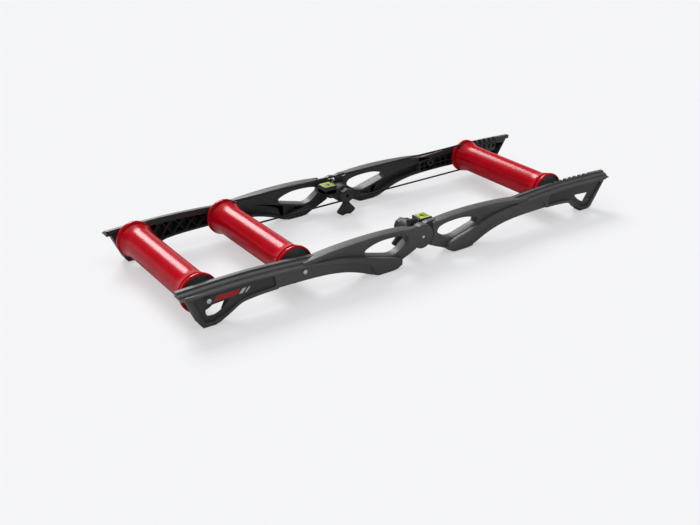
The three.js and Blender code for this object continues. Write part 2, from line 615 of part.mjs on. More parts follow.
function bearing() {
  const outer = DRUM_HALF_LENGTH - CAP_RECESS;
  const bore = AXLE_RADIUS + CLEARANCE;
  const profile = [
    [bore, outer - BEARING_WIDTH], [BEARING_RADIUS, outer - BEARING_WIDTH], [BEARING_RADIUS, outer],
    [bore, outer], [bore, outer - BEARING_WIDTH],
  ];
  return turnedGeometry(profile, ROUND_SIDES);
}

// The round belt: a closed tube over the middle and the front drum
function driveBelt() {
  const rear = new THREE.Vector2(MIDDLE_ROLLER_X, MIDDLE_ROLLER_HEIGHT);
  const front = new THREE.Vector2(FRONT_ROLLER_X, FRONT_ROLLER_HEIGHT);
  const tilt = Math.atan2(front.y - rear.y, front.x - rear.x);
  const stations = [];
  const arc = (centre, from) => {
    for (let i = 0; i <= BELT_ARC_STEPS; i++) {
      const angle = tilt + from - (Math.PI * i) / BELT_ARC_STEPS;
      const out = new THREE.Vector2(Math.cos(angle), Math.sin(angle)).multiplyScalar(BELT_CENTRE_RADIUS);
      stations.push({ centre: out.add(centre), angle });
    }
  };
  const run = (start, end, angle) => {
    for (let i = 1; i < BELT_RUN_STEPS; i++) {
      stations.push({ centre: start.clone().lerp(end, i / BELT_RUN_STEPS), angle });
    }
  };
  const up = new THREE.Vector2(-Math.sin(tilt), Math.cos(tilt)).multiplyScalar(BELT_CENTRE_RADIUS);
  arc(front, Math.PI / 2);
  run(front.clone().sub(up), rear.clone().sub(up), tilt - Math.PI / 2);
  arc(rear, -Math.PI / 2);
  run(rear.clone().add(up), front.clone().add(up), tilt + Math.PI / 2);
  const beltY = DRUM_HALF_LENGTH - RING_WIDTH - GROOVE_BELT_WIDTH / 2;
  const points = [];
  for (const { centre, angle } of stations) {
    for (let j = 0; j < BELT_SIDES; j++) {
      const around = (2 * Math.PI * (j + 0.5)) / BELT_SIDES;
      const out = BELT_RADIUS * Math.cos(around);
      points.push(centre.x + Math.cos(angle) * out, beltY + BELT_RADIUS * Math.sin(around),
        centre.y + Math.sin(angle) * out);
    }
  }
  const index = [];
  stations.forEach((_, i) => {
    for (let j = 0; j < BELT_SIDES; j++) {
      const next = (i + 1) % stations.length;
      const side = (j + 1) % BELT_SIDES;
      const [a, b, c, d] = [[i, j], [i, side], [next, side], [next, j]].map(([s, k]) => s * BELT_SIDES + k);
      index.push(a, c, b, a, d, c);
    }
  });
  const geometry = new THREE.BufferGeometry();
  geometry.setAttribute('position', new THREE.Float32BufferAttribute(points, 3));
  geometry.setIndex(index);
  return geometryOf(solidOf(geometry));
}

function finish(color, roughness, metalness = 0) {
  return new THREE.MeshStandardMaterial({ color, roughness, metalness });
}
const moulding = () => finish('#2a2b2d', 0.6);
const darkMoulding = () => finish('#191a1c', 0.5);
const redDrum = () => finish('#b3000f', 0.25, 0.1);
const capGrey = () => finish('#3b4440', 0.6);
const steel = () => finish('#b9bcc0', 0.3, 1);
const rubber = () => finish('#141414', 0.9);
const labelGreen = () => finish('#c3d338', 0.5);

const rollers = new THREE.Group();
function add(name, geometry, material, parent = rollers) {
  const mesh = new THREE.Mesh(geometry, material);
  mesh.name = name;
  parent.add(mesh);
  return mesh;
}

// Solids in the half rail's frame, which are mirrored for the inner-disc halves
const asBuilt = (solid) => geometryOf(solid);
const mirrored = (solid) => geometryOf(solid.mirror([0, 1, 0]));

// The four halves: each hinge is the other one turned half round about Z
const turned = new THREE.Group();
turned.rotation.z = Math.PI;
rollers.add(turned);
add('left_front_rail', asBuilt(halfRail(true, true)), moulding());
add('right_rear_rail', asBuilt(halfRail(true, false)), moulding(), turned);
add('right_front_rail', mirrored(halfRail(false, true)), moulding());
add('left_rear_rail', mirrored(halfRail(false, false)), moulding(), turned);

for (const [side, parent] of [['right', rollers], ['left', turned]]) {
  add(`${side}_lock_housing`, mirrored(lockHousing()), darkMoulding(), parent);
  add(`${side}_hinge_pin`, mirrored(hingePin()), steel(), parent);
  add(`${side}_lock_lever`, mirrored(lockLever()), darkMoulding(), parent);
  add(`${side}_release_plunger`, mirrored(plunger()), steel(), parent);
  add(`${side}_latch_label`, mirrored(labelPlate()), labelGreen(), parent);
}

const stations = {
  rear: [REAR_ROLLER_X, REAR_ROLLER_HEIGHT],
  middle: [MIDDLE_ROLLER_X, MIDDLE_ROLLER_HEIGHT],
  front: [FRONT_ROLLER_X, FRONT_ROLLER_HEIGHT],
};

function axle() {
  return new THREE.CylinderGeometry(AXLE_RADIUS, AXLE_RADIUS, 2 * (RAIL_INNER + AXLE_END), SMALL_SIDES);
}

for (const [place, [x, z]] of Object.entries(stations)) {
  const drum = new THREE.Group();
  drum.position.set(x, 0, z);
  rollers.add(drum);
  add(`${place}_drum`, drumShell(), redDrum(), drum);
  add(`${place}_axle`, axle(), steel(), drum);
  for (const [side, turn] of [['left', 0], ['right', Math.PI]]) {
    const end = new THREE.Group();
    end.rotation.z = turn;
    drum.add(end);
    add(`${place}_${side}_end_cap`, endCap(), capGrey(), end);
    add(`${place}_${side}_bearing`, bearing(), steel(), end);
  }
}

// Screws that hold the two rear axles from outside
function axleScrew(u, z, face) {
  const under = face + CLEARANCE;
  const top = under + SCREW_HEAD_HEIGHT;
  const floor = under + SCREW_HEAD_HEIGHT / 2;
  const shank = crossBar(SCREW_RADIUS, u, z, AXLE_END + 2 * CLEARANCE, floor, SMALL_SIDES);
  const head = crossBar(SCREW_HEAD_RADIUS, u, z, under, top, SMALL_SIDES);
  const socket = crossBar(SCREW_RADIUS, u, z, floor, top + OVERRUN, SOCKET_SIDES);
  return cutBy(joined(shank, head), socket);
}

// Outer face of the rail where a screw sits
function faceAt(u) {
  if (u > leanStart) return PANEL_WIDTH;
  return THREE.MathUtils.mapLinear(u, leanStart, leanEnd, PANEL_WIDTH, FOOT_WIDTH) - RECESS_DEPTH;
}

for (const place of ['rear', 'middle']) {
  const [x, z] = stations[place];
  const screw = axleScrew(-x, z, faceAt(-x));
  add(`${place}_right_axle_screw`, asBuilt(screw), steel(), turned);
  add(`${place}_left_axle_screw`, mirrored(screw), steel(), turned);
}

// Rubber pads under the eight feet
function footPad(from, to, width) {
  const [start, end] = [from + PAD_MARGIN, to - PAD_MARGIN];
  return block(start, end, PAD_MARGIN, width - PAD_MARGIN, 0, PAD_THICKNESS - CLEARANCE);
}

const middleFoot = MIDDLE_FOOT_SHARES.map((share) => share * HALF_LENGTH);
for (const [half, sign, shift] of [['front', 1, FRONT_FOOT_SHIFT], ['rear', -1, REAR_FOOT_SHIFT]]) {
  const feet = [['end', endFootOf(shift), PANEL_WIDTH], ['middle', middleFoot, FOOT_WIDTH]];
  for (const [kind, span, width] of feet) {
    const pad = footPad(...span, width);
    const parent = sign > 0 ? rollers : turned;
    add(`${half}_left_${kind}_foot_pad`, sign > 0 ? asBuilt(pad) : mirrored(pad), rubber(), parent);
    add(`${half}_right_${kind}_foot_pad`, sign > 0 ? mirrored(pad) : asBuilt(pad), rubber(), parent);
  }
}

add('drive_belt', driveBelt(), rubber());

export default rollers;
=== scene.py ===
"""Looks of the folding bike rollers: three waisted red drums between two moulded rails that fold.

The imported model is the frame. Every shown piece is a surface worked out with numpy in the frame of one half
rail: u runs away from the fold axis, v outwards from the rail's inner face and z up from the floor, all in
millimetres.
"""

import logging
import math
from dataclasses import dataclass, field, replace
from enum import Enum
from functools import partial

import bpy
import numpy as np
from mathutils import Matrix, Vector
from mathutils.geometry import tessellate_polygon


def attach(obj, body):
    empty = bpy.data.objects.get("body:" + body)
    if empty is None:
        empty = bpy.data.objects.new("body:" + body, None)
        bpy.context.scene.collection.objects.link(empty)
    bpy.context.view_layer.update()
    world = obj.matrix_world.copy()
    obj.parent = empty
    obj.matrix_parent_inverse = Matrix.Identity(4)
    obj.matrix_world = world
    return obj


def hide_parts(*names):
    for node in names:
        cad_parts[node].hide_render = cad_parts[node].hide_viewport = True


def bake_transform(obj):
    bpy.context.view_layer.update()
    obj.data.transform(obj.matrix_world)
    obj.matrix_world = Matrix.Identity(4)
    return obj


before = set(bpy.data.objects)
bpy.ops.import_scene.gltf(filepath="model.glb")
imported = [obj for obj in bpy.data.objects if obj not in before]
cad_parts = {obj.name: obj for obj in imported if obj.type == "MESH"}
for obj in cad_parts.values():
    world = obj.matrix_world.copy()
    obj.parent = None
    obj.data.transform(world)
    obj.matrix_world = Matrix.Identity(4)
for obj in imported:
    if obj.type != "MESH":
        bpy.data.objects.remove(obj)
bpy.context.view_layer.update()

LOG = logging.getLogger("rollers")
Array = np.ndarray
Pair = tuple[float, float]
Place = tuple[float, float, float]
Colour = tuple[float, float, float]
Socket = bpy.types.NodeSocket

# Units and turns
MILLIMETRE = 0.001
QUARTER_TURN = math.pi / 2
FULL_TURN = 2 * math.pi
AS_IT_IS = (1, 1, 1)

# Rounded corners of outlines: most of an edge that one takes, its points, and what counts as one point
CORNER_REACH = 0.49
CORNER_STEPS = 7
MERGED = 1e-3

# Sides of plates and bands: limit at sharp turns, edges drawn as one facet, most of a section in a corner
LEAST_COSINE = 0.6
FINE_EDGE = 0.5
SECTION_CORNER = 0.45


# Surfaces


@dataclass
class Shell:
    """One closed surface: points in millimetres, and faces as arrays of equally long index rows.

    The last two arrays are its flat ends where has_flat_ends is true, and they are shaded flat.
    """

    points: Array
    faces: list[Array]
    has_flat_ends: bool = False

    def volume(self) -> float:
        """Returns six times the signed volume: the sum of p0 . (pi x pi+1) over the fan of each face."""
        total = 0.0
        for rows in self.faces:
            corners = self.points[rows]
            crossed = np.cross(corners[:, 1:-1], corners[:, 2:])
            total += float((corners[:, :1] * crossed).sum())
        return total

    def outward(self) -> "Shell":
        """Returns the same shell with its faces pointing outwards."""
        if self.volume() >= 0:
            return self
        return Shell(self.points, [rows[:, ::-1] for rows in self.faces], self.has_flat_ends)

    def moved(self, scale: Place, shift: Place) -> "Shell":
        """Returns the shell with each point multiplied by scale and then shifted."""
        return self.placed(self.points * np.array(scale, float) + np.array(shift, float))

    def placed(self, points: Array) -> "Shell":
        """Returns a shell of the same faces on other points, with its faces pointing outwards."""
        return Shell(points, self.faces, self.has_flat_ends).outward()


def rounded(corners: Array, radius: float | Array, closed: bool = True, steps: int = CORNER_STEPS) -> Array:
    """Rounds the corners of an outline.

    Formula: with P a corner and A and B the points at the reach on its two edges, the corner becomes the
    parabola (1-t)^2 A + 2t(1-t) P + t^2 B. The reach is the radius, but under half of the shorter edge.

    Args:
        corners: the outline's corners, one row each.
        radius: the wanted reach, for all corners or one each.
        closed: whether the last corner is joined to the first.
        steps: points on each rounded corner.

    Returns:
        The points of the rounded outline.
    """
    corners = np.asarray(corners, float)
    before, after = np.roll(corners, 1, 0) - corners, np.roll(corners, -1, 0) - corners
    far_before, far_after = np.linalg.norm(before, axis=1), np.linalg.norm(after, axis=1)
    longest = CORNER_REACH * np.minimum(far_before, far_after)
    reach = np.minimum(np.broadcast_to(radius, len(corners)), longest)
    start = corners + before * (reach / far_before)[:, None]
    end = corners + after * (reach / far_after)[:, None]
    t = np.linspace(0, 1, steps)[None, :, None]
    curve = (1 - t) ** 2 * start[:, None] + 2 * t * (1 - t) * corners[:, None] + t * t * end[:, None]
    if closed:
        points = curve.reshape(-1, corners.shape[1])
    else:
        inner = curve[1:-1].reshape(-1, corners.shape[1])
        points = np.vstack([corners[:1], inner, corners[-1:]])
    kept = np.linalg.norm(points - np.roll(points, 1, 0), axis=1) > MERGED
    return points[kept]


def wound(loop: Array, left: bool = True) -> Array:
    """Turns a loop the wanted way round, by the sign of its area.

    Args:
        loop: (n, 2) points.
        left: whether it has to run anticlockwise.

    Returns:
        The loop, or its points in reverse.
    """
    following = np.roll(loop, -1, 0)
    area = (loop[:, 0] * following[:, 1] - loop[:, 1] * following[:, 0]).sum()
    return loop if (area > 0) == left else loop[::-1]


def inset(loop: Array, depths: Array) -> Array:
    """Moves a loop to its left by each of the depths.

    Formula: each point moves along the bisector of its two edges' left normals, by depth over the cosine of
    half the turn, so that straight edges move by exactly the depth.

    Args:
        loop: (n, 2) points.
        depths: k depths.

    Returns:
        (k, n, 2) points.
    """
    ahead = np.roll(loop, -1, 0) - loop
    ahead /= np.linalg.norm(ahead, axis=1)[:, None]
    behind = np.roll(ahead, 1, 0)
    bisector = ahead + behind
    bisector /= np.linalg.norm(bisector, axis=1)[:, None] + 1e-9
    stretch = 1 / np.maximum((bisector * ahead).sum(1), LEAST_COSINE)
    normal = np.stack([-bisector[:, 1], bisector[:, 0]], 1) * stretch[:, None]
    return loop[None] + normal[None] * np.asarray(depths, float)[:, None, None]


def grid_faces(rings: int, around: int, wrap_rings: bool = False) -> Array:
    """Lists the quads of a grid of rings that close on themselves.

    Args:
        rings: number of rings.
        around: points of each ring.
        wrap_rings: whether the last ring is joined to the first.

    Returns:
        (faces, 4) indices of points.
    """
    last = rings if wrap_rings else rings - 1
    ring, step = np.meshgrid(np.arange(last), np.arange(around), indexing="ij")
    above, beside = (ring + 1) % rings, (step + 1) % around
    corners = [ring * around + step, ring * around + beside, above * around + beside, above * around + step]
    return np.stack([corner.ravel() for corner in corners], 1)


def loft(rings: Array, wrap: bool = False) -> Shell:
    """Joins rings of points into one closed surface.

    Args:
        rings: (rings, around, 3) points.
        wrap: whether the last ring is joined to the first; otherwise both ends are capped flat.

    Returns:
        The closed shell, faces outwards.
    """
    count, around, _ = rings.shape
    faces = [grid_faces(count, around, wrap)]
    if not wrap:
        cap = np.arange(around)[None]
        faces += [cap[:, ::-1], cap + (count - 1) * around]
    return Shell(rings.reshape(-1, 3), faces, not wrap).outward()


def edge_profile(low: float, high: float, low_edge: float, high_edge: float) -> tuple[Array, Array]:
    """Works out depths and heights of a plate's side from its low face to its high one.

    Formula: each edge is a quarter circle, depth e(1 - sin t) at height e(1 - cos t) from the face.

    Args:
        low: height of the low face.
        high: height of the high face.
        low_edge: radius of the low face's edge.
        high_edge: radius of the high face's edge.

    Returns:
        Depths into the material and heights, from low to high.
    """
    def quarter(edge: float) -> tuple[Array, Array]:
        """Returns depths and distances from the face along one rounded edge, a square one where it is 0."""
        steps = 2 if edge < FINE_EDGE else 5
        t = np.linspace(0, QUARTER_TURN, steps) if edge > 0 else np.array([QUARTER_TURN])
        return edge * (1 - np.sin(t)), edge * (1 - np.cos(t))

    low_depth, low_rise = quarter(low_edge)
    high_depth, high_rise = quarter(high_edge)
    return np.r_[low_depth, high_depth[::-1]], np.r_[low + low_rise, high - high_rise[::-1]]


def plate(loops: list[Array], low: float, high: float, low_edge: float, high_edge: float) -> Shell:
    """Makes a flat plate with rounded edges from an outline and holes.

    The outline's rings follow edge_profile, and both faces are filled flat between the outline and its holes.

    Args:
        loops: the outline and then the holes, (n, 2) points each.
        low: height of the low face.
        high: height of the high face.
        low_edge: radius of the low face's edges.
        high_edge: radius of the high face's edges.

    Returns:
        The plate, with the outline's plane as x, y and its thickness along z.
    """
    depths, heights = edge_profile(low, high, low_edge, high_edge)
    points, faces, start = [], [], 0
    first, last, rims = [], [], ([], [])
    count = len(heights)
    for number, loop in enumerate(loops):
        loop = wound(loop, number == 0)
        rings = inset(loop, depths)
        levels = np.broadcast_to(heights[:, None, None], (*rings.shape[:2], 1))
        points.append(np.concatenate([rings, levels], 2).reshape(-1, 3))
        faces.append(grid_faces(count, len(loop)) + start)
        first.append(np.arange(len(loop)) + start)
        last.append(first[-1] + (count - 1) * len(loop))
        rims[0].append([Vector((*point, 0)) for point in rings[0]])
        rims[1].append([Vector((*point, 0)) for point in rings[-1]])
        start += count * len(loop)
    for rim, rows in zip(rims, (first, last)):
        filled = np.array(tessellate_polygon(rim))
        order = np.concatenate(rows)[filled]
        faces.append(order[:, ::-1] if rows is first else order)
    shell = Shell(np.vstack(points), faces, True)
    corners = shell.points[faces[-1]]
    normal = np.cross(corners[:, 1] - corners[:, 0], corners[:, 2] - corners[:, 0])[:, 2].sum()
    if normal < 0:
        shell.faces[-2:] = [rows[:, ::-1] for rows in shell.faces[-2:]]
    return shell.outward()


def standing(shell: Shell) -> Shell:
    """Returns a plate stood up: its plane becomes u, z and its thickness v."""
    return shell.placed(shell.points[:, [0, 2, 1]])


def turned(profile: Array, sides: int = 96, is_ring: bool = False) -> Shell:
    """Turns a profile round the v axis.

    Formula: the point at angle a of the row (r, h) is (r cos a, h, r sin a).

    Args:
        profile: rows of radius and height, open and with flat ends, or a closed loop where is_ring is true.
        sides: facets round the axis.
        is_ring: whether the profile is a closed loop beside the axis.

    Returns:
        The turned shell, about the origin.
    """
    angle = np.linspace(0, FULL_TURN, sides, endpoint=False)
    radius, height = profile[:, 0, None], profile[:, 1, None]
    rings = np.stack([radius * np.cos(angle), height + 0 * angle, radius * np.sin(angle)], 2)
    return loft(rings, wrap=is_ring)


def along_u(shell: Shell) -> Shell:
    """Returns a turned shell with its axis laid along u."""
    return shell.placed(shell.points[:, [1, 0, 2]])


def box(low: Place, high: Place, corner: float, edge: float) -> Shell:
    """Makes a block with rounded edges.

    Args:
        low: its lowest corner.
        high: its highest corner.
        corner: radius of the upright edges.
        edge: radius of the edges round its top and underside.

    Returns:
        The block.
    """
    (u0, v0, z0), (u1, v1, z1) = low, high
    outline = rounded(np.array([[u0, v0], [u1, v0], [u1, v1], [u0, v1]]), corner)
    return plate([outline], z0, z1, edge, edge)


def slab(start: Array, end: Array, width: float, v0: float, v1: float) -> Shell:
    """Makes a thin rib between two points of the side view.

    Args:
        start: u and z of one end.
        end: u and z of the other end.
        width: its thickness across its length.
        v0: its inner face.
        v1: its outer face.

    Returns:
        The rib.
    """
    along = np.asarray(end, float) - start
    side = np.array([-along[1], along[0]]) * (width / 2 / np.linalg.norm(along))
    corners = np.array([start - side, end - side, end + side, start + side])
    return standing(plate([corners], v0, v1, 0, 0))


def band(stations: Array, low: Array, high: Array, inner: Array, outer: Array,
         radii: tuple[float, float, float, float]) -> Shell:
    """Carries a rounded rectangle along u.

    Formula: at each station the section is the rectangle from low to high and from inner to outer, and each
    corner is a quarter circle about a point one radius inside it, no more than SECTION_CORNER of its size.

    Args:
        stations: places along u.
        low: height of the lower side at each station.
        high: height of the upper side.
        inner: v of the inner side.
        outer: v of the outer side.
        radii: corner radii at inner low, outer low, outer high and inner high.

    Returns:
        The closed band.
    """
    quarter = np.linspace(0, QUARTER_TURN, 5)
    angles = quarter + QUARTER_TURN * np.array([2, 3, 0, 1])[:, None]
    side_v = np.stack([inner, outer, outer, inner], 1)
    side_z = np.stack([low, low, high, high], 1)
    inwards_v, inwards_z = np.array([1, -1, -1, 1]), np.array([1, 1, -1, -1])
    limit = SECTION_CORNER * np.minimum(high - low, outer - inner)
    radius = np.minimum(np.array(radii)[None], limit[:, None])
    v = (side_v + inwards_v * radius)[:, :, None] + radius[:, :, None] * np.cos(angles)[None]
    z = (side_z + inwards_z * radius)[:, :, None] + radius[:, :, None] * np.sin(angles)[None]
    u = np.broadcast_to(np.asarray(stations)[:, None, None], v.shape)
    return loft(np.stack([u, v, z], 3).reshape(len(stations), -1, 3))


def tube_round(path: Array, outwards: Array, radius: float, sides: int = 14) -> Shell:
    """Carries a circle along a closed path in the side plane.

    Formula: at each place the ring is the path's point + radius (cos a outwards + sin a across).

    Args:
        path: (n, 3) points.
        outwards: (n, 3) unit vectors out of the loop.
        radius: the tube's radius.
        sides: points of each ring.

    Returns:
        The closed tube.
    """
    angle = np.linspace(0, FULL_TURN, sides, endpoint=False)
    across = np.array([0.0, 1.0, 0.0])
    ring = np.cos(angle)[None, :, None] * outwards[:, None] + np.sin(angle)[None, :, None] * across
    return loft(path[:, None] + radius * ring, wrap=True)


# Shader maths and finishes


class Wire:
    """A number that a socket gives. Its operators add Math nodes to the material's tree."""

    def __init__(self, paint: "Paint", socket: Socket) -> None:
        """Wraps one output socket of a paint's tree."""
        self.paint, self.socket = paint, socket

    def math(self, operation: str, *others: "Wire | float", first: bool = True) -> "Wire":
        """Adds one Math node.

        Args:
            operation: the node's operation.
            others: the other operands.
            first: whether this wire is the first operand.

        Returns:
            The node's result.
        """
        operands = (self, *others) if first else (*others, self)
        node = self.paint.node("ShaderNodeMath", {"operation": operation}, dict(enumerate(operands)))
        return Wire(self.paint, node.outputs[0])

    def __add__(self, other: "Wire | float") -> "Wire":
        """Returns the sum."""
        return self.math("ADD", other)

    __radd__ = __add__

    def __sub__(self, other: "Wire | float") -> "Wire":
        """Returns the difference."""
        return self.math("SUBTRACT", other)

    def __rsub__(self, other: "Wire | float") -> "Wire":
        """Returns other minus this."""
        return self.math("SUBTRACT", other, first=False)

    def __mul__(self, other: "Wire | float") -> "Wire":
        """Returns the product."""
        return self.math("MULTIPLY", other)

    __rmul__ = __mul__

    def between(self, low: float, high: float) -> "Wire":
        """Returns 0 below low, 1 above high and a smooth rise between them."""
        values = {"Value": self, "From Min": low, "From Max": high}
        node = self.paint.node("ShaderNodeMapRange", {"interpolation_type": "SMOOTHSTEP"}, values)
        return Wire(self.paint, node.outputs[0])

    def above(self, level: float, border: float) -> "Wire":
        """Returns 0 up to the level and 1 from the border's width past it."""
        return self.between(level, level + border)

    def below(self, level: float, border: float) -> "Wire":
        """Returns 1 up to the level and 0 from the border's width past it."""
        return 1 - self.above(level, border)

    def inside(self, low: float, high: float, soft: float) -> "Wire":
        """Returns 1 where the value is from low to high, with soft borders."""
        return self.between(low - soft, low + soft) * (1 - self.between(high - soft, high + soft))


class Paint:
    """A material's node tree, with one method that adds any node."""

    def __init__(self, name: str, world: bpy.types.World | None = None) -> None:
        """Makes an empty node tree with its output node.

        Args:
            name: name of the new material.
            world: the world whose tree is filled instead of a material's.
        """
        self.material = None if world else bpy.data.materials.new(name)
        owner = world or self.material
        owner.use_nodes = True
        self.tree = owner.node_tree
        self.tree.nodes.clear()
        self.output = self.node("ShaderNodeOutputWorld" if world else "ShaderNodeOutputMaterial")
        self.coordinates = self.node("ShaderNodeTexCoord").outputs["Object"]

    def node(self, kind: str, settings: dict | None = None, values: dict | None = None) -> bpy.types.Node:
        """Adds one node.

        Args:
            kind: the node's type.
            settings: its settings, which are set first.
            values: numbers, colours, sockets or wires for its inputs, by name or number.

        Returns:
            The new node.
        """
        node = self.tree.nodes.new(kind)
        for name, value in (settings or {}).items():
            setattr(node, name, value)
        for key, value in (values or {}).items():
            self.feed(node.inputs[key], value)
        return node

    def feed(self, socket: Socket, value: "Wire | Socket | Place | float") -> None:
        """Gives an input its value.

        Args:
            socket: the input.
            value: a wire or an output to link it to, or a number, a vector or a colour to set.
        """
        value = value.socket if isinstance(value, Wire) else value
        if isinstance(value, Socket):
            self.tree.links.new(value, socket)
        else:
            socket.default_value = (*value, 1.0) if socket.type == "RGBA" else value

    def axes(self) -> tuple[Wire, Wire, Wire]:
        """Returns the object's own x, y and z in metres."""
        parts = self.node("ShaderNodeSeparateXYZ", values={0: self.coordinates})
        return Wire(self, parts.outputs[0]), Wire(self, parts.outputs[1]), Wire(self, parts.outputs[2])

    def noise(self, size: float, detail: float, stretch: Place = AS_IT_IS) -> Wire:
        """Adds noise whose blots are about size millimetres.

        Args:
            size: size of a blot in millimetres.
            detail: how many finer layers it has.
            stretch: how much denser it is along each axis.

        Returns:
            Values round a half.
        """
        place = self.node("ShaderNodeMapping", values={"Vector": self.coordinates, "Scale": stretch})
        values = {"Vector": place.outputs[0], "Scale": 1 / (size * MILLIMETRE), "Detail": detail}
        return Wire(self, self.node("ShaderNodeTexNoise", values=values).outputs[0])

    def blend(self, share: Wire, start: "Colour | Socket", end: "Colour | Socket") -> Socket:
        """Mixes two colours.

        Args:
            share: 0 for all of start, 1 for all of end; anything past them is clamped.
            start: one colour.
            end: the other colour.

        Returns:
            The mixed colour.
        """
        settings = {"data_type": "RGBA", "clamp_factor": True}
        return self.node("ShaderNodeMix", settings, {0: share, 6: start, 7: end}).outputs[2]

    def bump(self, height: Wire, depth: float) -> Socket:
        """Returns a normal raised by height, where 1 stands depth millimetres proud."""
        values = {"Height": height, "Distance": depth * MILLIMETRE, "Strength": 1.0}
        return self.node("ShaderNodeBump", values=values).outputs[0]

    def surface(self, values: dict) -> bpy.types.Material:
        """Adds the surface shader with these inputs and returns the finished material."""
        self.close(self.node("ShaderNodeBsdfPrincipled", values=values))
        return self.material

    def close(self, shader: bpy.types.Node) -> None:
        """Links a shader to the output."""
        self.tree.links.new(shader.outputs[0], self.output.inputs[0])

    def is_seen_directly(self) -> Wire:
        """Returns 1 for rays that come straight from the camera."""
        return Wire(self, self.node("ShaderNodeLightPath").outputs["Is Camera Ray"])

    def is_shown_background(self) -> Wire:
        """Returns 1 for rays that show the background: from the camera, or by gloss or through glass."""
        path = self.node("ShaderNodeLightPath")
        kinds = ("Is Camera Ray", "Is Glossy Ray", "Is Transmission Ray")
        camera, gloss, glass = (Wire(self, path.outputs[kind]) for kind in kinds)
        return camera.math("MAXIMUM", gloss).math("MAXIMUM", glass)


@dataclass(frozen=True)
class Moulded:
    """Moulded plastic: a fine spark-eroded grain, faint flow marks and dull scuffs; on the rails, shade is
    painted into its colour as well.

    Sizes of blots are in millimetres, and places on the rail in metres, as the shader reads them.
    """

    name: str
    colour: Colour
    scuffed: Colour
    roughness: float
    gloss: float = 0.28
    grain_size: float = 0.9
    grain_depth: float = 0.05
    flow_size: float = 70
    scuff_size: float = 9
    # whether shade is painted into the colour, as on the rails
    has_painted_shade: bool = False
    is_striped: bool = False
    # colour and share of the painted shade, then the places on the rail that bound where it is painted
    painted_shade_colour: Colour = (0.016, 0.016, 0.016)
    painted_shade_share: float = 0.72
    inner_face: float = 0.1990
    skin_back: float = 0.2250
    panel_face: Pair = (0.2268, 0.2276)
    rim_face: float = 0.2280
    beam_start: float = 0.330
    skin_start: float = 0.440
    lip_height: float = 0.080
    bar_red: Colour = (0.62, 0.012, 0.02)
    bar_white: Colour = (0.75, 0.75, 0.74)
    bar_face: float = 0.2262
    bar_heights: Pair = (0.061, 0.073)
    bar_slant: float = 0.9
    red_bar: Pair = (-0.672, -0.612)
    white_bars: tuple[Pair, Pair] = ((-0.606, -0.596), (-0.590, -0.585))
    border: float = 0.0004

    def material(self) -> bpy.types.Material:
        """Returns the material."""
        paint = Paint(self.name)
        grain = paint.noise(self.grain_size, 2)
        flow = paint.noise(self.flow_size, 4, (0.5, 1, 1.6))
        scuff = paint.noise(self.scuff_size, 6, (1, 1, 2)).between(0.60, 0.78)
        colour = paint.blend(flow.between(0.35, 0.65) * 0.6 + scuff * 0.4, self.colour, self.scuffed)
        # the rails get painted shade in their colour
        if self.has_painted_shade:
            colour = self.shaded(paint, colour)
        if self.is_striped:
            colour = self.printed(paint, colour)
        roughness = self.roughness - 0.05 + flow * 0.10 + scuff * 0.12
        height = grain + flow * 2.0
        return paint.surface({
            "Base Color": colour, "Roughness": roughness, "Normal": paint.bump(height, self.grain_depth),
            "Specular IOR Level": self.gloss,
        })

    def shaded(self, paint: Paint, colour: Socket) -> Socket:
        """Paints shade into the colour: on the bare inner face, in the channel, on the sunk side panel and,
        lighter, on the outer side of the end under the cap.

        Args:
            paint: the material's paint.
            colour: the colour of the open surfaces.

        Returns:
            The colour with the painted shade in it.
        """
        x, y, z = paint.axes()
        side, along = y.math("ABSOLUTE"), x.math("ABSOLUTE")
        bare = side.below(self.inner_face, 0.0008)
        channel = (along.above(self.beam_start, 0.004) * side.below(self.skin_back, 0.0008)
                   * z.below(self.lip_height, 0.004))
        sunk = along.above(self.skin_start, 0.004) * side.inside(*self.panel_face, 0.0003)
        end = (along.above(self.skin_start, 0.160) * side.above(self.rim_face, 0.0004)
               * z.below(self.lip_height, 0.012))
        # painted shade: full on the inner face and in the channel, 0.7 of it on the sunk panel, 0.35 of it on
        # the end's outer side under the cap
        dark = (bare + channel + sunk * 0.7).math("MAXIMUM", end * 0.35).between(0, 1)
        return paint.blend(dark * self.painted_shade_share, colour, self.painted_shade_colour)

    def printed(self, paint: Paint, colour: Socket) -> Socket:
        """Prints a few plain slanted bars near the end of the rail's side face.

        Args:
            paint: the material's paint.
            colour: the colour below the print.

        Returns:
            The colour with the bars in it.
        """
        x, y, z = paint.axes()
        slant = x - z * self.bar_slant
        on_face = (y * -1).above(self.bar_face, self.border) * z.inside(*self.bar_heights, self.border)
        red = slant.inside(*self.red_bar, self.border) * on_face
        wide, narrow = self.white_bars
        white = slant.inside(*wide, self.border) + slant.inside(*narrow, self.border)
        colour = paint.blend(red, colour, self.bar_red)
        return paint.blend(white * on_face, colour, self.bar_white)


@dataclass(frozen=True)
class GlossCoat:
    """Glossy coat of paint on a turned metal drum, with the faint waviness that a sprayed coat has."""

    name: str = "red_drum_coat"
    colour: Colour = (0.56, 0.001, 0.012)
    deep: Colour = (0.48, 0.001, 0.010)
    roughness: float = 0.25
    gloss: float = 0.15
    cloud_size: float = 60
    rub_size: float = 16
    peel_size: float = 2.2
    peel_depth: float = 0.0008

    def material(self) -> bpy.types.Material:
        """Returns the material."""
        paint = Paint(self.name)
        cloud = paint.noise(self.cloud_size, 3)
        orange_peel = paint.noise(self.peel_size, 1)
        rubbed = paint.noise(self.rub_size, 5, (1, 6, 1)).between(0.55, 0.75)
        colour = paint.blend(cloud.between(0.3, 0.7), self.deep, self.colour)
        return paint.surface({
            "Base Color": colour, "Roughness": self.roughness + rubbed * 0.05,
            "Normal": paint.bump(orange_peel, self.peel_depth), "Specular IOR Level": self.gloss,
        })


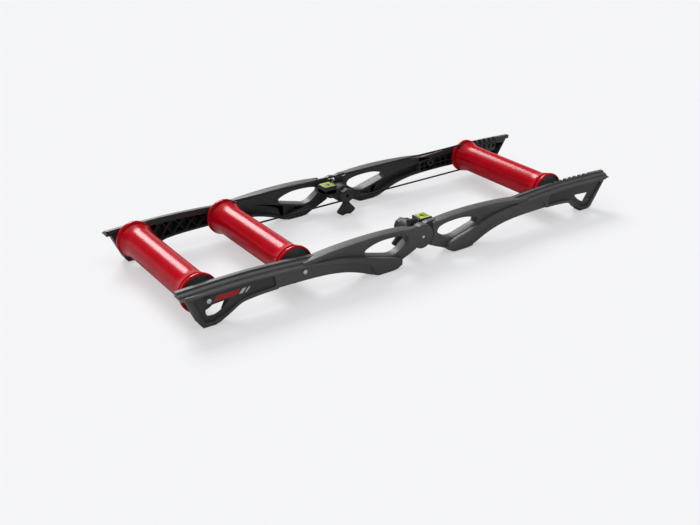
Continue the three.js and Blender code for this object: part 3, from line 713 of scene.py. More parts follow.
@dataclass(frozen=True)
class Steel:
    """Bright plated steel with fine turning marks."""

    name: str = "plated_steel"
    colour: Colour = (0.80, 0.80, 0.81)
    dull: Colour = (0.66, 0.66, 0.67)
    metallic: float = 0.85
    roughness: float = 0.30
    mark_size: float = 1.6
    mark_depth: float = 0.01
    cloud_size: float = 12

    def material(self) -> bpy.types.Material:
        """Returns the material."""
        paint = Paint(self.name)
        marks = paint.noise(self.mark_size, 3, (1, 14, 1))
        cloud = paint.noise(self.cloud_size, 4)
        colour = paint.blend(cloud.between(0.35, 0.7), self.colour, self.dull)
        return paint.surface({
            "Base Color": colour, "Metallic": self.metallic, "Roughness": self.roughness + marks * 0.10,
            "Normal": paint.bump(marks, self.mark_depth),
        })


@dataclass(frozen=True)
class Rubber:
    """Matt black rubber with a chalky bloom."""

    name: str = "black_rubber"
    colour: Colour = (0.010, 0.010, 0.010)
    bloom: Colour = (0.030, 0.030, 0.030)
    roughness: float = 0.70
    bloom_size: float = 5
    grain_size: float = 0.5
    grain_depth: float = 0.04

    def material(self) -> bpy.types.Material:
        """Returns the material."""
        paint = Paint(self.name)
        bloom = paint.noise(self.bloom_size, 5)
        grain = paint.noise(self.grain_size, 2)
        return paint.surface({
            "Base Color": paint.blend(bloom.between(0.4, 0.75), self.colour, self.bloom),
            "Roughness": self.roughness + bloom * 0.2, "Normal": paint.bump(grain, self.grain_depth),
        })


@dataclass(frozen=True)
class LabelPrint:
    """Yellow-green label with plain dark marks: a wedge between short bars. Places are in metres."""

    name: str = "label_print"
    colour: Colour = (0.50, 0.60, 0.012)
    ink: Colour = (0.02, 0.026, 0.010)
    rim: Colour = (0.50, 0.55, 0.30)
    roughness: float = 0.38
    wear_size: float = 3
    wear_depth: float = 0.02
    centre: Pair = (0.042, 0.166)
    wedge: Pair = (-0.010, 0.003)
    wedge_slope: float = 0.95
    bars: tuple[Pair, Pair, Pair] = ((-0.0142, -0.0122), (0.0055, 0.0085), (0.0110, 0.0130))
    bar_end: float = 0.0118
    rim_start: float = 0.0152
    border: float = 0.0003
    soft: float = 0.0005

    def material(self) -> bpy.types.Material:
        """Returns the material."""
        paint = Paint(self.name)
        x, y, _ = paint.axes()
        from_fold, from_middle = x.math("ABSOLUTE"), y.math("ABSOLUTE")
        along, across = from_fold - self.centre[0], from_middle - self.centre[1]
        width = across.math("ABSOLUTE")
        tip = self.wedge[0]
        wedge = (along.inside(*self.wedge, self.border)
                 * (width - (along - tip) * self.wedge_slope).below(0, self.soft))
        first, second, third = self.bars
        ends = along.inside(*first, self.border) + along.inside(*second, self.border)
        bars = (ends + along.inside(*third, self.border)) * width.below(self.bar_end, self.soft)
        edge = (width.above(self.rim_start, self.soft)
                + along.math("ABSOLUTE").above(self.rim_start, self.soft)).between(0, 1)
        worn = paint.noise(self.wear_size, 4)
        printed = paint.blend(wedge + bars, self.colour, self.ink)
        framed = paint.blend(edge * 0.6, printed, self.rim)
        return paint.surface({
            "Base Color": paint.blend(worn.between(0.6, 0.9) * 0.25, framed, self.ink),
            "Roughness": self.roughness + worn * 0.15, "Normal": paint.bump(worn, self.wear_depth),
        })


CHARCOAL = Moulded("charcoal_moulding", (0.078, 0.079, 0.077), (0.108, 0.109, 0.106), 0.48,
                   gloss=0.42, grain_depth=0.02, has_painted_shade=True)


class Finish(Enum):
    """The finishes of the pieces. Each value is the record's slot and what makes the material."""

    RAIL = ("moulding", CHARCOAL)
    PRINTED_RAIL = ("moulding", replace(CHARCOAL, name="charcoal_moulding_printed", is_striped=True))
    LOCK = ("dark_moulding", Moulded("black_moulding", (0.034, 0.034, 0.036), (0.058, 0.058, 0.061), 0.50,
                                     gloss=0.20, grain_depth=0.02))
    CAP = ("cap_grey", Moulded("grey_green_cap", (0.100, 0.125, 0.115), (0.140, 0.165, 0.152), 0.42))
    DRUM = ("red_paint", GlossCoat())
    STEEL = ("steel", Steel())
    RUBBER = ("rubber", Rubber())
    LABEL = ("label_green", LabelPrint())

    @property
    def slot(self) -> str:
        """Returns the record's material slot."""
        return self.value[0]

    def material(self) -> bpy.types.Material:
        """Returns this finish's material, made on its first use."""
        maker = self.value[1]
        return bpy.data.materials.get(maker.name) or maker.material()


# Pieces


def show(node: str, shells: list[Shell], finish: Finish, body: str, crease: float = 38) -> bpy.types.Object:
    """Makes one shown piece, which stands for one CAD node.

    Args:
        node: the CAD node's name.
        shells: closed surfaces in the row's frame, in millimetres.
        finish: the piece's finish.
        body: the CAD body that it moves with.
        crease: edges that turn by more than this angle, in degrees, stay sharp.

    Returns:
        The new object.
    """
    starts = np.cumsum([0] + [len(shell.points) for shell in shells])
    points = np.vstack([shell.points for shell in shells]) * MILLIMETRE
    faces = [row for shell, start in zip(shells, starts)
             for rows in shell.faces for row in (rows + start).tolist()]
    mesh = bpy.data.meshes.new(f"{node}_surface")
    mesh.from_pydata(points.tolist(), [], faces)
    mesh.update()
    ends = [np.full(len(rows), shell.has_flat_ends and number >= len(shell.faces) - 2)
            for shell in shells for number, rows in enumerate(shell.faces)]
    mesh.polygons.foreach_set("use_smooth", ~np.concatenate(ends))
    mesh.set_sharp_from_angle(angle=math.radians(crease))
    mesh.materials.append(finish.material())
    piece = bpy.data.objects.new(f"{node}_shown", mesh)
    bpy.context.scene.collection.objects.link(piece)
    if body:
        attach(piece, body)
    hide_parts(node)
    finish.slot
    LOG.info("%s: %d shells, %d faces, %s", piece.name, len(shells), len(faces), finish.slot)
    return piece


# Sizes and places that several pieces share, in the half rail's frame
RAIL_INNER = 199.0
HALF_LENGTH = 700.0
RAIL_HEIGHT = 100.0
GAP = 0.3
FOLD_HEIGHT = 66.0
MIDDLE_AXLE = (371.0, 70.0)
REAR_AXLE = (631.4, 69.0)
FRONT_AXLE = (494.2, 75.0)
END_FOOT = (600.6, 641.9)
FOOT_SHIFT = {"front": -9.0, "rear": 9.0}
PANEL_WIDTH = 33.0
FOOT_WIDTH = 41.0


@dataclass(frozen=True)
class Quarter:
    """A quarter of the rollers: which way it runs from the fold and which side of the rider it is on."""

    half: str
    side: str

    @property
    def along(self) -> int:
        """Returns 1 towards the front and -1 towards the rear."""
        return 1 if self.half == "front" else -1

    @property
    def across(self) -> int:
        """Returns 1 on the left and -1 on the right."""
        return 1 if self.side == "left" else -1

    def place(self, shells: list[Shell]) -> list[Shell]:
        """Returns shells of the half rail's frame in the row's frame: (along u, across (inner + v), z)."""
        scale, shift = (self.along, self.across, 1), (0, self.across * RAIL_INNER, 0)
        return [shell.moved(scale, shift) for shell in shells]


def sized(shares: tuple[Pair, ...]) -> Array:
    """Returns side-view points in millimetres from shares of the half length and the rail height."""
    return np.array(shares) * (HALF_LENGTH, RAIL_HEIGHT)


def side_line(*shares: Pair) -> Array:
    """Returns a field whose default is a side-view line, given as shares of the half rail."""
    return field(default_factory=partial(sized, shares))


def stretch_of(line: Array, start: float, end: float = math.inf) -> Array:
    """Returns the points of a side-view line that lie between two places along u."""
    return line[(line[:, 0] > start) & (line[:, 0] < end)]


def smooth(line: Array, stations: Array) -> Array:
    """Returns heights of a softly rounded line at the stations."""
    soft = rounded(line, HALF_LENGTH, closed=False, steps=9)
    return np.interp(stations, soft[:, 0], soft[:, 1])


@dataclass
class HalfRail:
    """One moulded half rail: an arch with a window, a beam with a sloping cap, and the member below them."""

    quarter: Quarter
    arch_width: float = 27.0
    lip_width: float = 36.5
    panel_floor: float = 28.2
    sunk: float = 3.0
    wall: float = 4.0
    rib: float = 1.8
    rib_depth: Pair = (5.0, 27.4)
    outer_disc: float = 34.0
    inner_disc: float = 32.0
    disc_room: float = 1.5
    split: float = 13.5
    pad: float = 3.0
    edge: float = 0.8
    arch_edge: float = 4.0
    under_cap: float = 13.9
    cap_start: float = 322.0
    soft_corner: float = 60.0
    root_corner: float = 8.0
    skin_corner: float = 2.0
    end_corners: tuple[float, float, float] = (8.0, 10.0, 3.0)
    hollow_corner: float = 7.0
    hollow_start: float = 97.0
    hollow_drop: float = 3.0
    rib_feet: float = 2.0
    rib_heads: float = 9.0
    slots: int = 8
    slot_pitch: float = 20.0
    slot_half: float = 5.3
    bottom: Array = side_line(
        (0.060, 0.27), (0.091, 0.185), (0.121, 0.09), (0.135, 0.03), (0.224, 0.03), (0.243, 0.06),
        (0.270, 0.14), (0.305, 0.24), (0.357, 0.35), (0.423, 0.425), (0.500, 0.45), (0.600, 0.46),
        (0.714, 0.44), (0.780, 0.39), (0.818, 0.22))
    arch_top: Array = side_line(
        (0.071, 1.0), (0.109, 1.03), (0.160, 1.05), (0.219, 1.06), (0.304, 1.05), (0.370, 1.025),
        (0.417, 1.0), (0.493, 0.94))
    cap_top: Array = side_line(
        (0.471, 0.95), (0.540, 0.985), (0.620, 1.02), (0.745, 1.05), (0.857, 1.04), (1.0, 1.0))
    window: Array = side_line(
        (0.067, 0.67), (0.076, 0.80), (0.107, 0.86), (0.150, 0.885), (0.201, 0.88), (0.240, 0.82),
        (0.270, 0.73), (0.266, 0.60), (0.200, 0.475), (0.131, 0.35))
    ledge: Array = side_line(
        (0.113, 0.30), (0.140, 0.35), (0.200, 0.455), (0.263, 0.575), (0.310, 0.67), (0.363, 0.755),
        (0.427, 0.805), (0.499, 0.83), (0.560, 0.845), (0.638, 0.86))
    recess: Array = side_line(
        (0.231, 0.01), (0.245, 0.24), (0.254, 0.36), (0.316, 0.53), (0.389, 0.65), (0.453, 0.745),
        (0.565, 0.80), (0.623, 0.67))
    hand: Array = side_line(
        (0.811, 0.57), (0.893, 0.53), (0.907, 0.45), (0.903, 0.28), (0.870, 0.27), (0.836, 0.40))
    end_top: Pair = (0.985 * HALF_LENGTH, 0.90 * RAIL_HEIGHT)
    panel_low: tuple[Pair, Pair, Pair] = ((500.0, 53.0), (546.0, 47.5), (574.0, 30.0))
    panel_foot: float = 12.5
    lean: Pair = (436.1, 177.8)
    roots: tuple[Pair, Pair] = ((21.08, 37.0), (36.38, 95.99))
    shoulder: tuple[Pair, Pair] = ((26.0, 100.0), (14.48, 96.74))

    @property
    def is_front(self) -> bool:
        """Returns whether this half belongs to the front."""
        return self.quarter.half == "front"

    @property
    def has_outer_disc(self) -> bool:
        """Returns whether this half has the outer disc of its hinge."""
        return self.quarter.along == self.quarter.across

    @property
    def shift(self) -> float:
        """Returns how far the end foot is moved outwards."""
        return FOOT_SHIFT[self.quarter.half]

    @property
    def skin_start(self) -> float:
        """Returns where the beam's outer skin starts, just under the end of the member."""
        return self.lean[0] - 2.0

    def floor_at(self, stations: Array | float) -> Array | float:
        """Returns heights of the half rail's lower edge at the stations."""
        return np.interp(stations, *self.bottom.T)

    def roof_at(self, stations: Array | float) -> Array | float:
        """Returns heights of the cap's straight line at the stations."""
        return np.interp(stations, *self.cap_top.T)

    def cap_at(self, stations: Array) -> Array:
        """Returns heights of the cap's softly rounded line at the stations."""
        return smooth(np.vstack([[310.0, 92.6], self.cap_top]), stations)

    def slant_at(self, stations: Array) -> Array:
        """Returns heights of the slanted end of the beam, below which the cap doesn't reach."""
        return np.interp(stations, [END_FOOT[1], self.end_top[0]], [0, self.end_top[1] - 4])

    def lean_at(self, stations: Array) -> Array:
        """Returns v of the lower member's face: from the panel's width it leans out to the middle foot's."""
        return np.interp(stations, self.lean[::-1], (FOOT_WIDTH, PANEL_WIDTH))

    def foot(self) -> Array:
        """Returns the two lower corners of the end foot."""
        return np.stack([np.add(END_FOOT, self.shift), np.full(2, self.pad)], 1)

    def under_roof(self) -> Array:
        """Returns the line under the sloping cap, from the end towards the fold."""
        return (self.cap_top[1:-1] - (0, self.under_cap))[::-1]

    def outline(self, disc: float, bulges: bool) -> Array:
        """Works out the half rail's outline from the side, with its hinge end.

        Formula: the run of side-view points, closed at the hinge by an arc of the disc's radius round the
        fold axis. It bulges over the axis, or is cut into the rail where it meets the line between the roots,
        whose two crossings solve |origin + s edge| = disc for s.

        Args:
            disc: radius of the hinge's disc.
            bulges: whether the disc is this layer's own; otherwise there is room for the other half's.

        Returns:
            The closed outline.
        """
        below, above = np.array(self.roots)
        edge, origin = below - above, above - (0, FOLD_HEIGHT)
        a, b, c = edge @ edge, 2 * origin @ edge, origin @ origin - disc ** 2
        crossings = origin + np.outer((-b + np.array([-1, 1]) * math.sqrt(b * b - 4 * a * c)) / (2 * a), edge)
        upper, lower = np.arctan2(crossings[:, 1], crossings[:, 0])
        closing = above[None]
        if bulges:
            closing = np.array(self.shoulder)
            rise = closing[-1] - (0, FOLD_HEIGHT)
            upper, lower = math.atan2(rise[1], rise[0]) + 0.02, lower + FULL_TURN
        angles = np.linspace(upper, lower, 64 if bulges else 28)
        arc = np.stack([disc * np.cos(angles), FOLD_HEIGHT + disc * np.sin(angles)], 1)
        corners = np.vstack([
            below, self.bottom, self.foot(), self.end_top, self.under_roof(), self.arch_top[::-1], closing])
        radii = np.full(len(corners), self.soft_corner)
        radii[-len(closing)] = self.root_corner
        first = len(self.bottom) + 1
        radii[first:first + 3] = self.end_corners
        return np.vstack([rounded(corners, radii, closed=False), arc])

    def skin_outline(self) -> Array:
        """Returns the closed outline of the beam's outer skin, from the end of the member to the end foot."""
        start, bevel = self.skin_start, self.skin_start + 12
        low = stretch_of(self.bottom, bevel + 2)
        corners = np.vstack([
            [[start, 67.0], [bevel, self.floor_at(bevel)]], low, self.foot(), self.end_top,
            stretch_of(self.under_roof(), start), [[start, self.roof_at(start) - self.under_cap]]])
        radii = np.full(len(corners), self.soft_corner)
        radii[[0, 1, -1]] = (self.skin_corner, self.skin_corner, 0.0)
        first = len(low) + 2
        radii[first:first + 3] = self.end_corners
        return rounded(corners, radii)

    def hollow(self) -> list[Array]:
        """Returns the outlines of the hollows that open towards the drums: the beam's and the member's."""
        start, wall = self.cap_top[0, 0], self.wall
        foot_start, foot_end = self.foot()[:, 0]
        drop = self.under_cap + self.hollow_drop
        beam = np.vstack([
            [start, self.floor_at(start) + wall], stretch_of(self.bottom, start) + (0, wall),
            [foot_start + 2, self.pad + wall], [foot_end - wall, self.pad + wall],
            np.subtract(self.end_top, (12, 11)), self.cap_top[-2:0:-1] - (0, drop),
            [start, self.cap_top[0, 1] - drop]])
        edge = start - wall
        member = np.vstack([
            stretch_of(self.bottom, self.hollow_start, start) + (0, wall),
            [edge, self.floor_at(edge) + wall], [edge, np.interp(edge, *self.ledge.T) - wall],
            stretch_of(self.ledge, self.hollow_start, start)[::-1] - (0, wall)])
        return [rounded(beam, self.hollow_corner), rounded(member, self.hollow_corner)]

    def hand_hole(self) -> Array:
        """Returns the outline of the hand hole."""
        return rounded(self.hand + (self.shift / 2, 0), 9, steps=9)

    def core(self) -> list[Shell]:
        """Builds the rail's open frame in two layers: one has its hinge disc, one room for the other's."""
        holes = [rounded(self.window, 26, steps=9), *self.hollow()]
        own_inner = not self.has_outer_disc
        inner = self.outline(self.inner_disc + (0 if own_inner else self.disc_room), own_inner)
        outer = self.outline(self.outer_disc + (self.disc_room if own_inner else 0), not own_inner)
        return [
            standing(plate([inner, *holes], 0, self.split - GAP / 2, self.edge, 0)),
            standing(plate([outer, *holes], self.split + GAP / 2, self.arch_width, 0, self.arch_edge)),
        ]

    def skin(self) -> list[Shell]:
        """Builds the beam's closed outer skin with its sunk side panel and the rim round it."""
        start, outline = self.skin_start, self.skin_outline()
        along_top = np.array([600.0, 521.0, start + 22])
        foot_start, foot_end = self.foot()[:, 0]
        panel = np.vstack([
            [start + 16, self.floor_at(start + 16) + 8], self.panel_low,
            [foot_start + 5, self.panel_foot], [foot_end - 8, self.panel_foot],
            [self.end_top[0] - 17, self.roof_at(670) - 22],
            np.stack([along_top, self.roof_at(along_top) - 19.5], 1)])
        return [
            standing(plate([outline, self.hand_hole()], 26, self.panel_floor, 0, self.edge)),
            standing(plate([outline, rounded(panel, 9)], self.panel_floor - self.edge, PANEL_WIDTH, 0, 1.8)),
        ]

    def member(self) -> list[Shell]:
        """Builds the lower member: a sunk band, and a raised one that frames it and forms the middle foot.

        Formula: rounded sections between the smoothed lower edge and ledge, carried along u, with faces that
        lean outwards. The raised band's lower side follows the recess, so that the sunk one shows below it.

        Returns:
            Sunk and raised band.
        """
        stations = np.r_[np.linspace(78.6, 158, 30), np.linspace(159, 180, 22), np.linspace(184, 452, 62)]
        low, high = smooth(self.bottom, stations), smooth(self.ledge, stations)
        high = np.maximum(high, low + 0.8)
        face = self.lean_at(stations) - np.where(stations > self.lean[0] - 1, 0.3, 0)
        inner = np.full(len(stations), 25.9)
        kept = stations > 157.5
        sunk = band(stations[kept], low[kept] + 0.3, high[kept] - 0.6, inner[kept], (face - self.sunk)[kept],
                    (0.5, 3.0, 3.0, 0.5))
        frame_line = smooth(np.vstack([[160.5, -1.0], self.recess]), stations)
        raised_low = np.where(stations < 161, low, np.minimum(np.maximum(frame_line, low), high - 1.2))
        return [sunk, band(stations, raised_low, high, inner, face, (0.5, 1.6, 5.0, 0.5))]

    def rim(self) -> Shell:
        """Builds the raised rim along the outer top edge of the arch.

        Formula: a rounded section hung from the smoothed top line, with a depth and a face that grow along u.

        Returns:
            The rim.
        """
        start, end = 27.0 if self.has_outer_disc else 40.0, 372.0
        stations = np.linspace(start, end, 90)
        top = smooth(np.vstack([[20.0, 99.9], self.arch_top, [380.0, 91.0]]), stations)
        depth = np.interp(stations, [start, 90, 240, end], [5.0, 7.5, 10.5, 13.0])
        face = np.interp(stations, [start, start + 8, 300, end], [27.3, 29.4, 29.4, 31.0])
        return band(stations, top - depth, top - 0.2, face - 8, face, (0.4, 0.7, 4.5, 0.4))

    def cap(self) -> Shell:
        """Builds the beam's sloping cap.

        Formula: a section of three bands that step down outwards, with a lip that hangs outside the panel,
        carried along the cap's line; near the end its underside stops at the slanted end of the beam.

        Returns:
            The cap.
        """
        stations = np.r_[np.linspace(self.cap_start, 690, 70), np.linspace(691, 699.2, 8), HALF_LENGTH]
        top = self.cap_at(stations)[:, None]
        start = 10.0 if self.is_front else 0.0
        lip = self.lip_width
        section = np.array([
            [start, -1.0], [start + 0.3, -0.3], [start + 0.6, 0.0], [10.9, 0.0], [11.5, -0.5], [11.7, -4.2],
            [12.6, -3.9], [23.4, -6.9], [24.0, -7.6], [24.2, -11.0], [25.1, -10.4], [lip - 1.2, -13.6],
            [lip - 0.3, -14.3], [lip, -15.2], [lip, -17.2], [lip - 0.8, -18.0], [lip - 2.6, -18.0],
            [PANEL_WIDTH - 0.4, -15.6], [start, -14.2]])
        z = np.minimum(np.maximum(top + section[:, 1], self.slant_at(stations)[:, None]), top)
        narrow = np.interp(stations, [self.cap_start, 345, 699, HALF_LENGTH], [0.80, 1.0, 1.0, 0.985])
        v = section[:, 0] * np.where(section[:, 0] > 20, narrow[:, None], 1.0)
        return loft(np.stack([np.broadcast_to(stations[:, None], v.shape), v, z], 2))

    def comb(self) -> list[Shell]:
        """Builds the slotted wall of a front half, and the strip of the cap above it with the same slots.

        Formula: each slot's lower end is a half circle round an axle's place. The strip is a flat comb whose
        points are lifted onto the cap's line, and near the end onto the slanted end of the beam.

        Returns:
            Wall and strip.
        """
        (u0, z0), half = FRONT_AXLE, self.slot_half
        centres = u0 + self.slot_pitch * np.arange(self.slots)
        level = np.zeros(self.slots)
        arc = np.linspace(math.pi, FULL_TURN, 13)
        tops = self.roof_at(centres) - 11.5
        left, right = (np.stack([centres + side, tops], 1)[:, None] for side in (-half, half))
        bowls = np.stack([centres[:, None] + half * np.cos(arc), z0 + level[:, None] + half * np.sin(arc)], 2)
        teeth = np.concatenate([left, bowls, right], 1).reshape(-1, 2)
        first, last, foot = centres[0] - half - 8, centres[-1] + 9, z0 - 16
        wall = np.vstack([[last, foot], [last, tops[-1]], teeth[::-1], [first, tops[0]], [first, foot]])
        cuts = np.stack([
            np.stack([centres - half, level], 1), np.stack([centres - half, level + 10], 1),
            np.stack([centres + half, level + 10], 1), np.stack([centres + half, level], 1)], 1)
        before = np.stack([np.linspace(332, 478, 15), np.zeros(15)], 1)
        after = np.stack([np.linspace(650, 690, 5), np.zeros(5)], 1)
        far = np.stack([np.linspace(HALF_LENGTH, self.cap_start, 90), np.full(90, 10.6)], 1)
        plan = np.vstack([[self.cap_start, 0], before, cuts.reshape(-1, 2), after, [HALF_LENGTH, 0], far])
        strip = plate([plan], -11, 0, 0, 0.5)
        lifted = strip.points + self.cap_at(strip.points[:, 0])[:, None] * (0, 0, 1)
        lifted[:, 2] = np.maximum(lifted[:, 2], self.slant_at(lifted[:, 0]))
        return [standing(plate([wall], 0, 5, 0.4, 0.4)), strip.placed(lifted)]

    def ribs(self) -> list[Shell]:
        """Builds the ribs inside the beam: crossed ones between the rear drums, a curved grid in front.

        Formula: straight ribs join points of the floor and the roof; a curved one keeps its share of the way
        from floor to roof.

        Returns:
            One shell for each rib.
        """
        places = np.linspace(350, 458.5, 6) if self.is_front else np.linspace(402.5, 588, 6)
        feet = np.stack([places, self.floor_at(places) + self.rib_feet], 1)
        heads = np.stack([places, self.roof_at(places) - self.rib_heads], 1)
        if not self.is_front:
            pairs = [pair for i in range(len(places) - 1)
                     for pair in ((feet[i], heads[i + 1]), (heads[i], feet[i + 1]))]
            return [slab(start, end, self.rib, *self.rib_depth) for start, end in pairs]
        shells = [slab(foot, head, self.rib, *self.rib_depth) for foot, head in zip(feet, heads)]
        stations = np.linspace(334, 462, 24)
        low, high = self.floor_at(stations) + self.rib_feet, self.roof_at(stations) - self.rib_heads
        inner, outer = (np.full(len(stations), face) for face in self.rib_depth)
        for share in (0.34, 0.67):
            middle = low + (high - low) * share
            shells.append(band(stations, middle - 1.2, middle + 1.2, inner, outer, (0.4,) * 4))
        return shells

    def boss(self, place: Pair, outer: tuple[Pair, ...]) -> Shell:
        """Builds the round seat of one axle end: a ring profile turned about the axle.

        Args:
            place: u and z of the axle.
            outer: the profile's outer end, rows of radius and v.

        Returns:
            The seat.
        """
        profile = np.vstack([[[5.3, 0.8], [6.1, 0], [11.2, 0], [12, 0.8]], outer])
        return turned(profile, 48, True).moved(AS_IT_IS, (place[0], 0, place[1]))

    def build(self) -> bpy.types.Object:
        """Builds the half rail and shows it."""
        shells = [*self.core(), *self.skin(), *self.member(), self.rim(), self.cap(), *self.ribs(),
                  self.boss(MIDDLE_AXLE, ((12, 28.5), (5.3, 28.5)))]
        if self.is_front:
            shells += self.comb()
        else:
            through = ((12, 27.6), (8.8, 28.0), (8.8, 32.2), (8.0, 33.0), (5.3, 33.0))
            shells.append(self.boss(REAR_AXLE, through))
        name = f"{self.quarter.side}_{self.quarter.half}_rail"
        finish = Finish.PRINTED_RAIL if name == "right_rear_rail" else Finish.RAIL
        return show(name, self.quarter.place(shells), finish, f"{self.quarter.half}_half")


@dataclass
class FoldLock:
    """One side's fold hinge hardware: pin, barrel, latch box, label, plunger and winged lever."""

    side: str
    pin_radius: float = 4.0
    barrel_radius: float = 26.0
    barrel_length: float = 57.0
    box_near: float = 22.0
    box_length: float = 40.0
    box_width: float = 40.0
    box_top: float = 95.0
    box_bottom: float = 72.0
    box_step: float = 9.0
    box_ribs: int = 6
    plunger_radius: float = 6.0
    plunger_reach: float = 10.0
    plunger_proud: float = 4.0
    guide_length: float = 28.0
    guide_wall: float = 2.7
    plunger_inset: float = 12.0
    plunger_height: float = 97.0
    label_margin: float = 3.0
    label_thickness: float = 1.2
    lever_hub: float = 21.0
    lever_hole: float = 5.0
    lever_length: float = 19.0
    wing_size: Pair = (31.0, -61.0)
    wing_lobe: tuple[Pair, ...] = (
        (0.30, 0.25), (0.36, 0.40), (1.0, 0.76), (0.94, 0.84), (0.42, 1.0), (0.12, 0.95))

    @property
    def quarter(self) -> Quarter:
        """Returns the quarter whose frame the lock is built in."""
        return Quarter("front" if self.side == "right" else "rear", self.side)

    @property
    def box_back(self) -> float:
        """Returns v of the latch box's far side."""
        return 4 - self.barrel_length

    @property
    def pin_seat(self) -> float:
        """Returns v of the pin's inner end, in the middle of the lever's hub."""
        return -self.barrel_length - self.lever_length / 2

    def across(self, profile: Array, sides: int, is_ring: bool = False) -> Shell:
        """Returns a profile turned about the fold axis, its heights being v."""
        return turned(profile, sides, is_ring).moved(AS_IT_IS, (0, 0, FOLD_HEIGHT))

    def along_plunger(self, profile: Array, is_ring: bool = False) -> Shell:
        """Returns a profile turned about the plunger's axis, its heights being u."""
        axis = (0, -self.plunger_inset, self.plunger_height)
        return along_u(turned(profile, 48, is_ring)).moved(AS_IT_IS, axis)

    def barrel(self) -> Shell:
        """Builds the barrel round the fold axis, with its ring lines and its rounded far end."""
        r, far, bore = self.barrel_radius, -self.barrel_length, self.pin_radius + GAP
        profile = np.array([
            [bore, -GAP], [r - 1, -GAP], [r, -1.3], [r, -3.0], [r - 0.6, -3.4], [r - 0.6, -4.2], [r, -4.6],
            [r, far + 3.4], [r - 0.5, far + 1.6], [r - 1.6, far + 0.4], [r - 3.0, far], [r - 9, far],
            [r - 9.6, far + 1.2], [bore, far + 1.2]])
        return self.across(profile, 96, True)

    def latch_box(self) -> list[Shell]:
        """Builds the latch box: a low block, a high one on it, and a row of ribs on the step."""
        near, back, step = self.box_near, self.box_back, self.box_top - self.box_step
        end, side = near + self.box_length, back + self.box_width
        low = box((2, back, self.box_bottom), (end, -GAP - 0.1, step), 3, 1.5)
        high = box((near, back, self.box_bottom + 1), (end, side, self.box_top), 3, 1.2)
        ribs = [box((place - 1, side + 2.5, step - 1), (place + 1, -2.5, step + 1.2), 0.6, 0.4)
                for place in end - 5.0 * np.arange(1, self.box_ribs + 1)]
        return [low, high, *ribs]

    def guide(self) -> list[Shell]:
        """Builds the plunger's guide: a sleeve with a ring line, a plug in its back end and a saddle."""
        bore, inset = self.plunger_radius + GAP, self.plunger_inset
        r, stop = bore + self.guide_wall, self.plunger_reach - self.plunger_proud
        start = stop - self.guide_length
        tube = np.array([
            [bore, start + 0.6], [bore + 0.6, start], [r - 0.8, start], [r, start + 0.8],
            [r, stop - 3.2], [r - 0.5, stop - 2.8], [r - 0.5, stop - 2.2], [r, stop - 1.8],
            [r, stop - 0.8], [r - 0.8, stop], [bore + 0.6, stop], [bore, stop - 0.6]])
        plug = np.array([[bore - 0.2, start + 0.4], [bore - 0.2, start + 4.0]])
        saddle = box((start + 0.8, -inset - 6, 84), (stop - 0.8, -inset + 6, 89.5), 1, 0.6)
        return [self.along_plunger(tube, True), self.along_plunger(plug), saddle]

    def label(self) -> Shell:
        """Builds the thin label plate on the latch box."""
        margin, low = self.label_margin, self.box_top + GAP
        near, back = self.box_near + margin, self.box_back + margin
        end, side = near + self.box_length - 2 * margin, back + self.box_width - 2 * margin
        return box((near, back, low), (end, side, low + self.label_thickness), 2, 0.5)

    def plunger(self) -> Shell:
        """Builds the release plunger with its domed, bright end."""
        r, end = self.plunger_radius, self.plunger_reach
        return self.along_plunger(np.array([
            [r - 1, end - 22], [r, end - 21], [r, end - 1.6], [r - 0.5, end - 0.8], [r - 1.6, end - 0.2],
            [r - 3.0, end]]))

    def pin(self) -> Shell:
        """Builds the hinge pin with a chamfered, slightly domed outer end."""
        r, inner = self.pin_radius, self.pin_seat
        profile = np.array([[r - 0.6, inner], [r, inner + 0.6], [r, 27.1], [r - 0.5, 27.6], [r - 1.6, 27.8]])
        return self.across(profile, 40)

    def lever(self) -> list[Shell]:
        """Builds the winged lever: an eight-sided hub with a socket, and a two-lobed wing with a waist.

        Formula of the hub: its profile is turned in eight steps, and then x and z change places, so that the
        steps start on the z axis.

        Returns:
            Hub, wing and the spine between the lobes.
        """
        face = -self.barrel_length - 2 * GAP
        far, seat, middle = face - self.lever_length, self.pin_seat - 4, face - self.lever_length / 2
        r, hole, bore = self.lever_hub, self.lever_hole, self.pin_radius + GAP
        profile = np.array([
            [bore, face], [r - 1, face], [r, face - 1], [r, far + 1.6], [r - 1.6, far], [hole + 1, far],
            [hole, far + 1], [hole, seat], [hole - 0.7, seat], [bore, seat]])
        ring = turned(profile, 8, True)
        hub = ring.placed(ring.points[:, [2, 1, 0]] * (1, 1, -1)).moved(AS_IT_IS, (0, 0, FOLD_HEIGHT))
        lobe = np.array(self.wing_lobe) * self.wing_size + (0, FOLD_HEIGHT)
        outline = rounded(np.vstack([lobe, (lobe * (-1, 1))[::-1]]), 5)
        wing = standing(plate([outline], middle - 4.5, middle + 4.5, 2.0, 2.0))
        spine = box((-2.5, middle - 5.6, FOLD_HEIGHT - 56), (2.5, middle + 5.6, FOLD_HEIGHT - 17), 1, 0.8)
        return [hub, wing, spine]

    def build(self) -> None:
        """Shows the pieces of this side's lock."""
        side, body, place = self.side, f"{self.quarter.half}_half", self.quarter.place
        housing = [self.barrel(), *self.latch_box(), *self.guide()]
        show(f"{side}_lock_housing", place(housing), Finish.LOCK, body)
        show(f"{side}_latch_label", place([self.label()]), Finish.LABEL, body)
        show(f"{side}_hinge_pin", place([self.pin()]), Finish.STEEL, body)
        show(f"{side}_release_plunger", place([self.plunger()]), Finish.STEEL, f"{side}_plunger")
        show(f"{side}_lock_lever", place(self.lever()), Finish.LOCK, f"{side}_lever", 30)


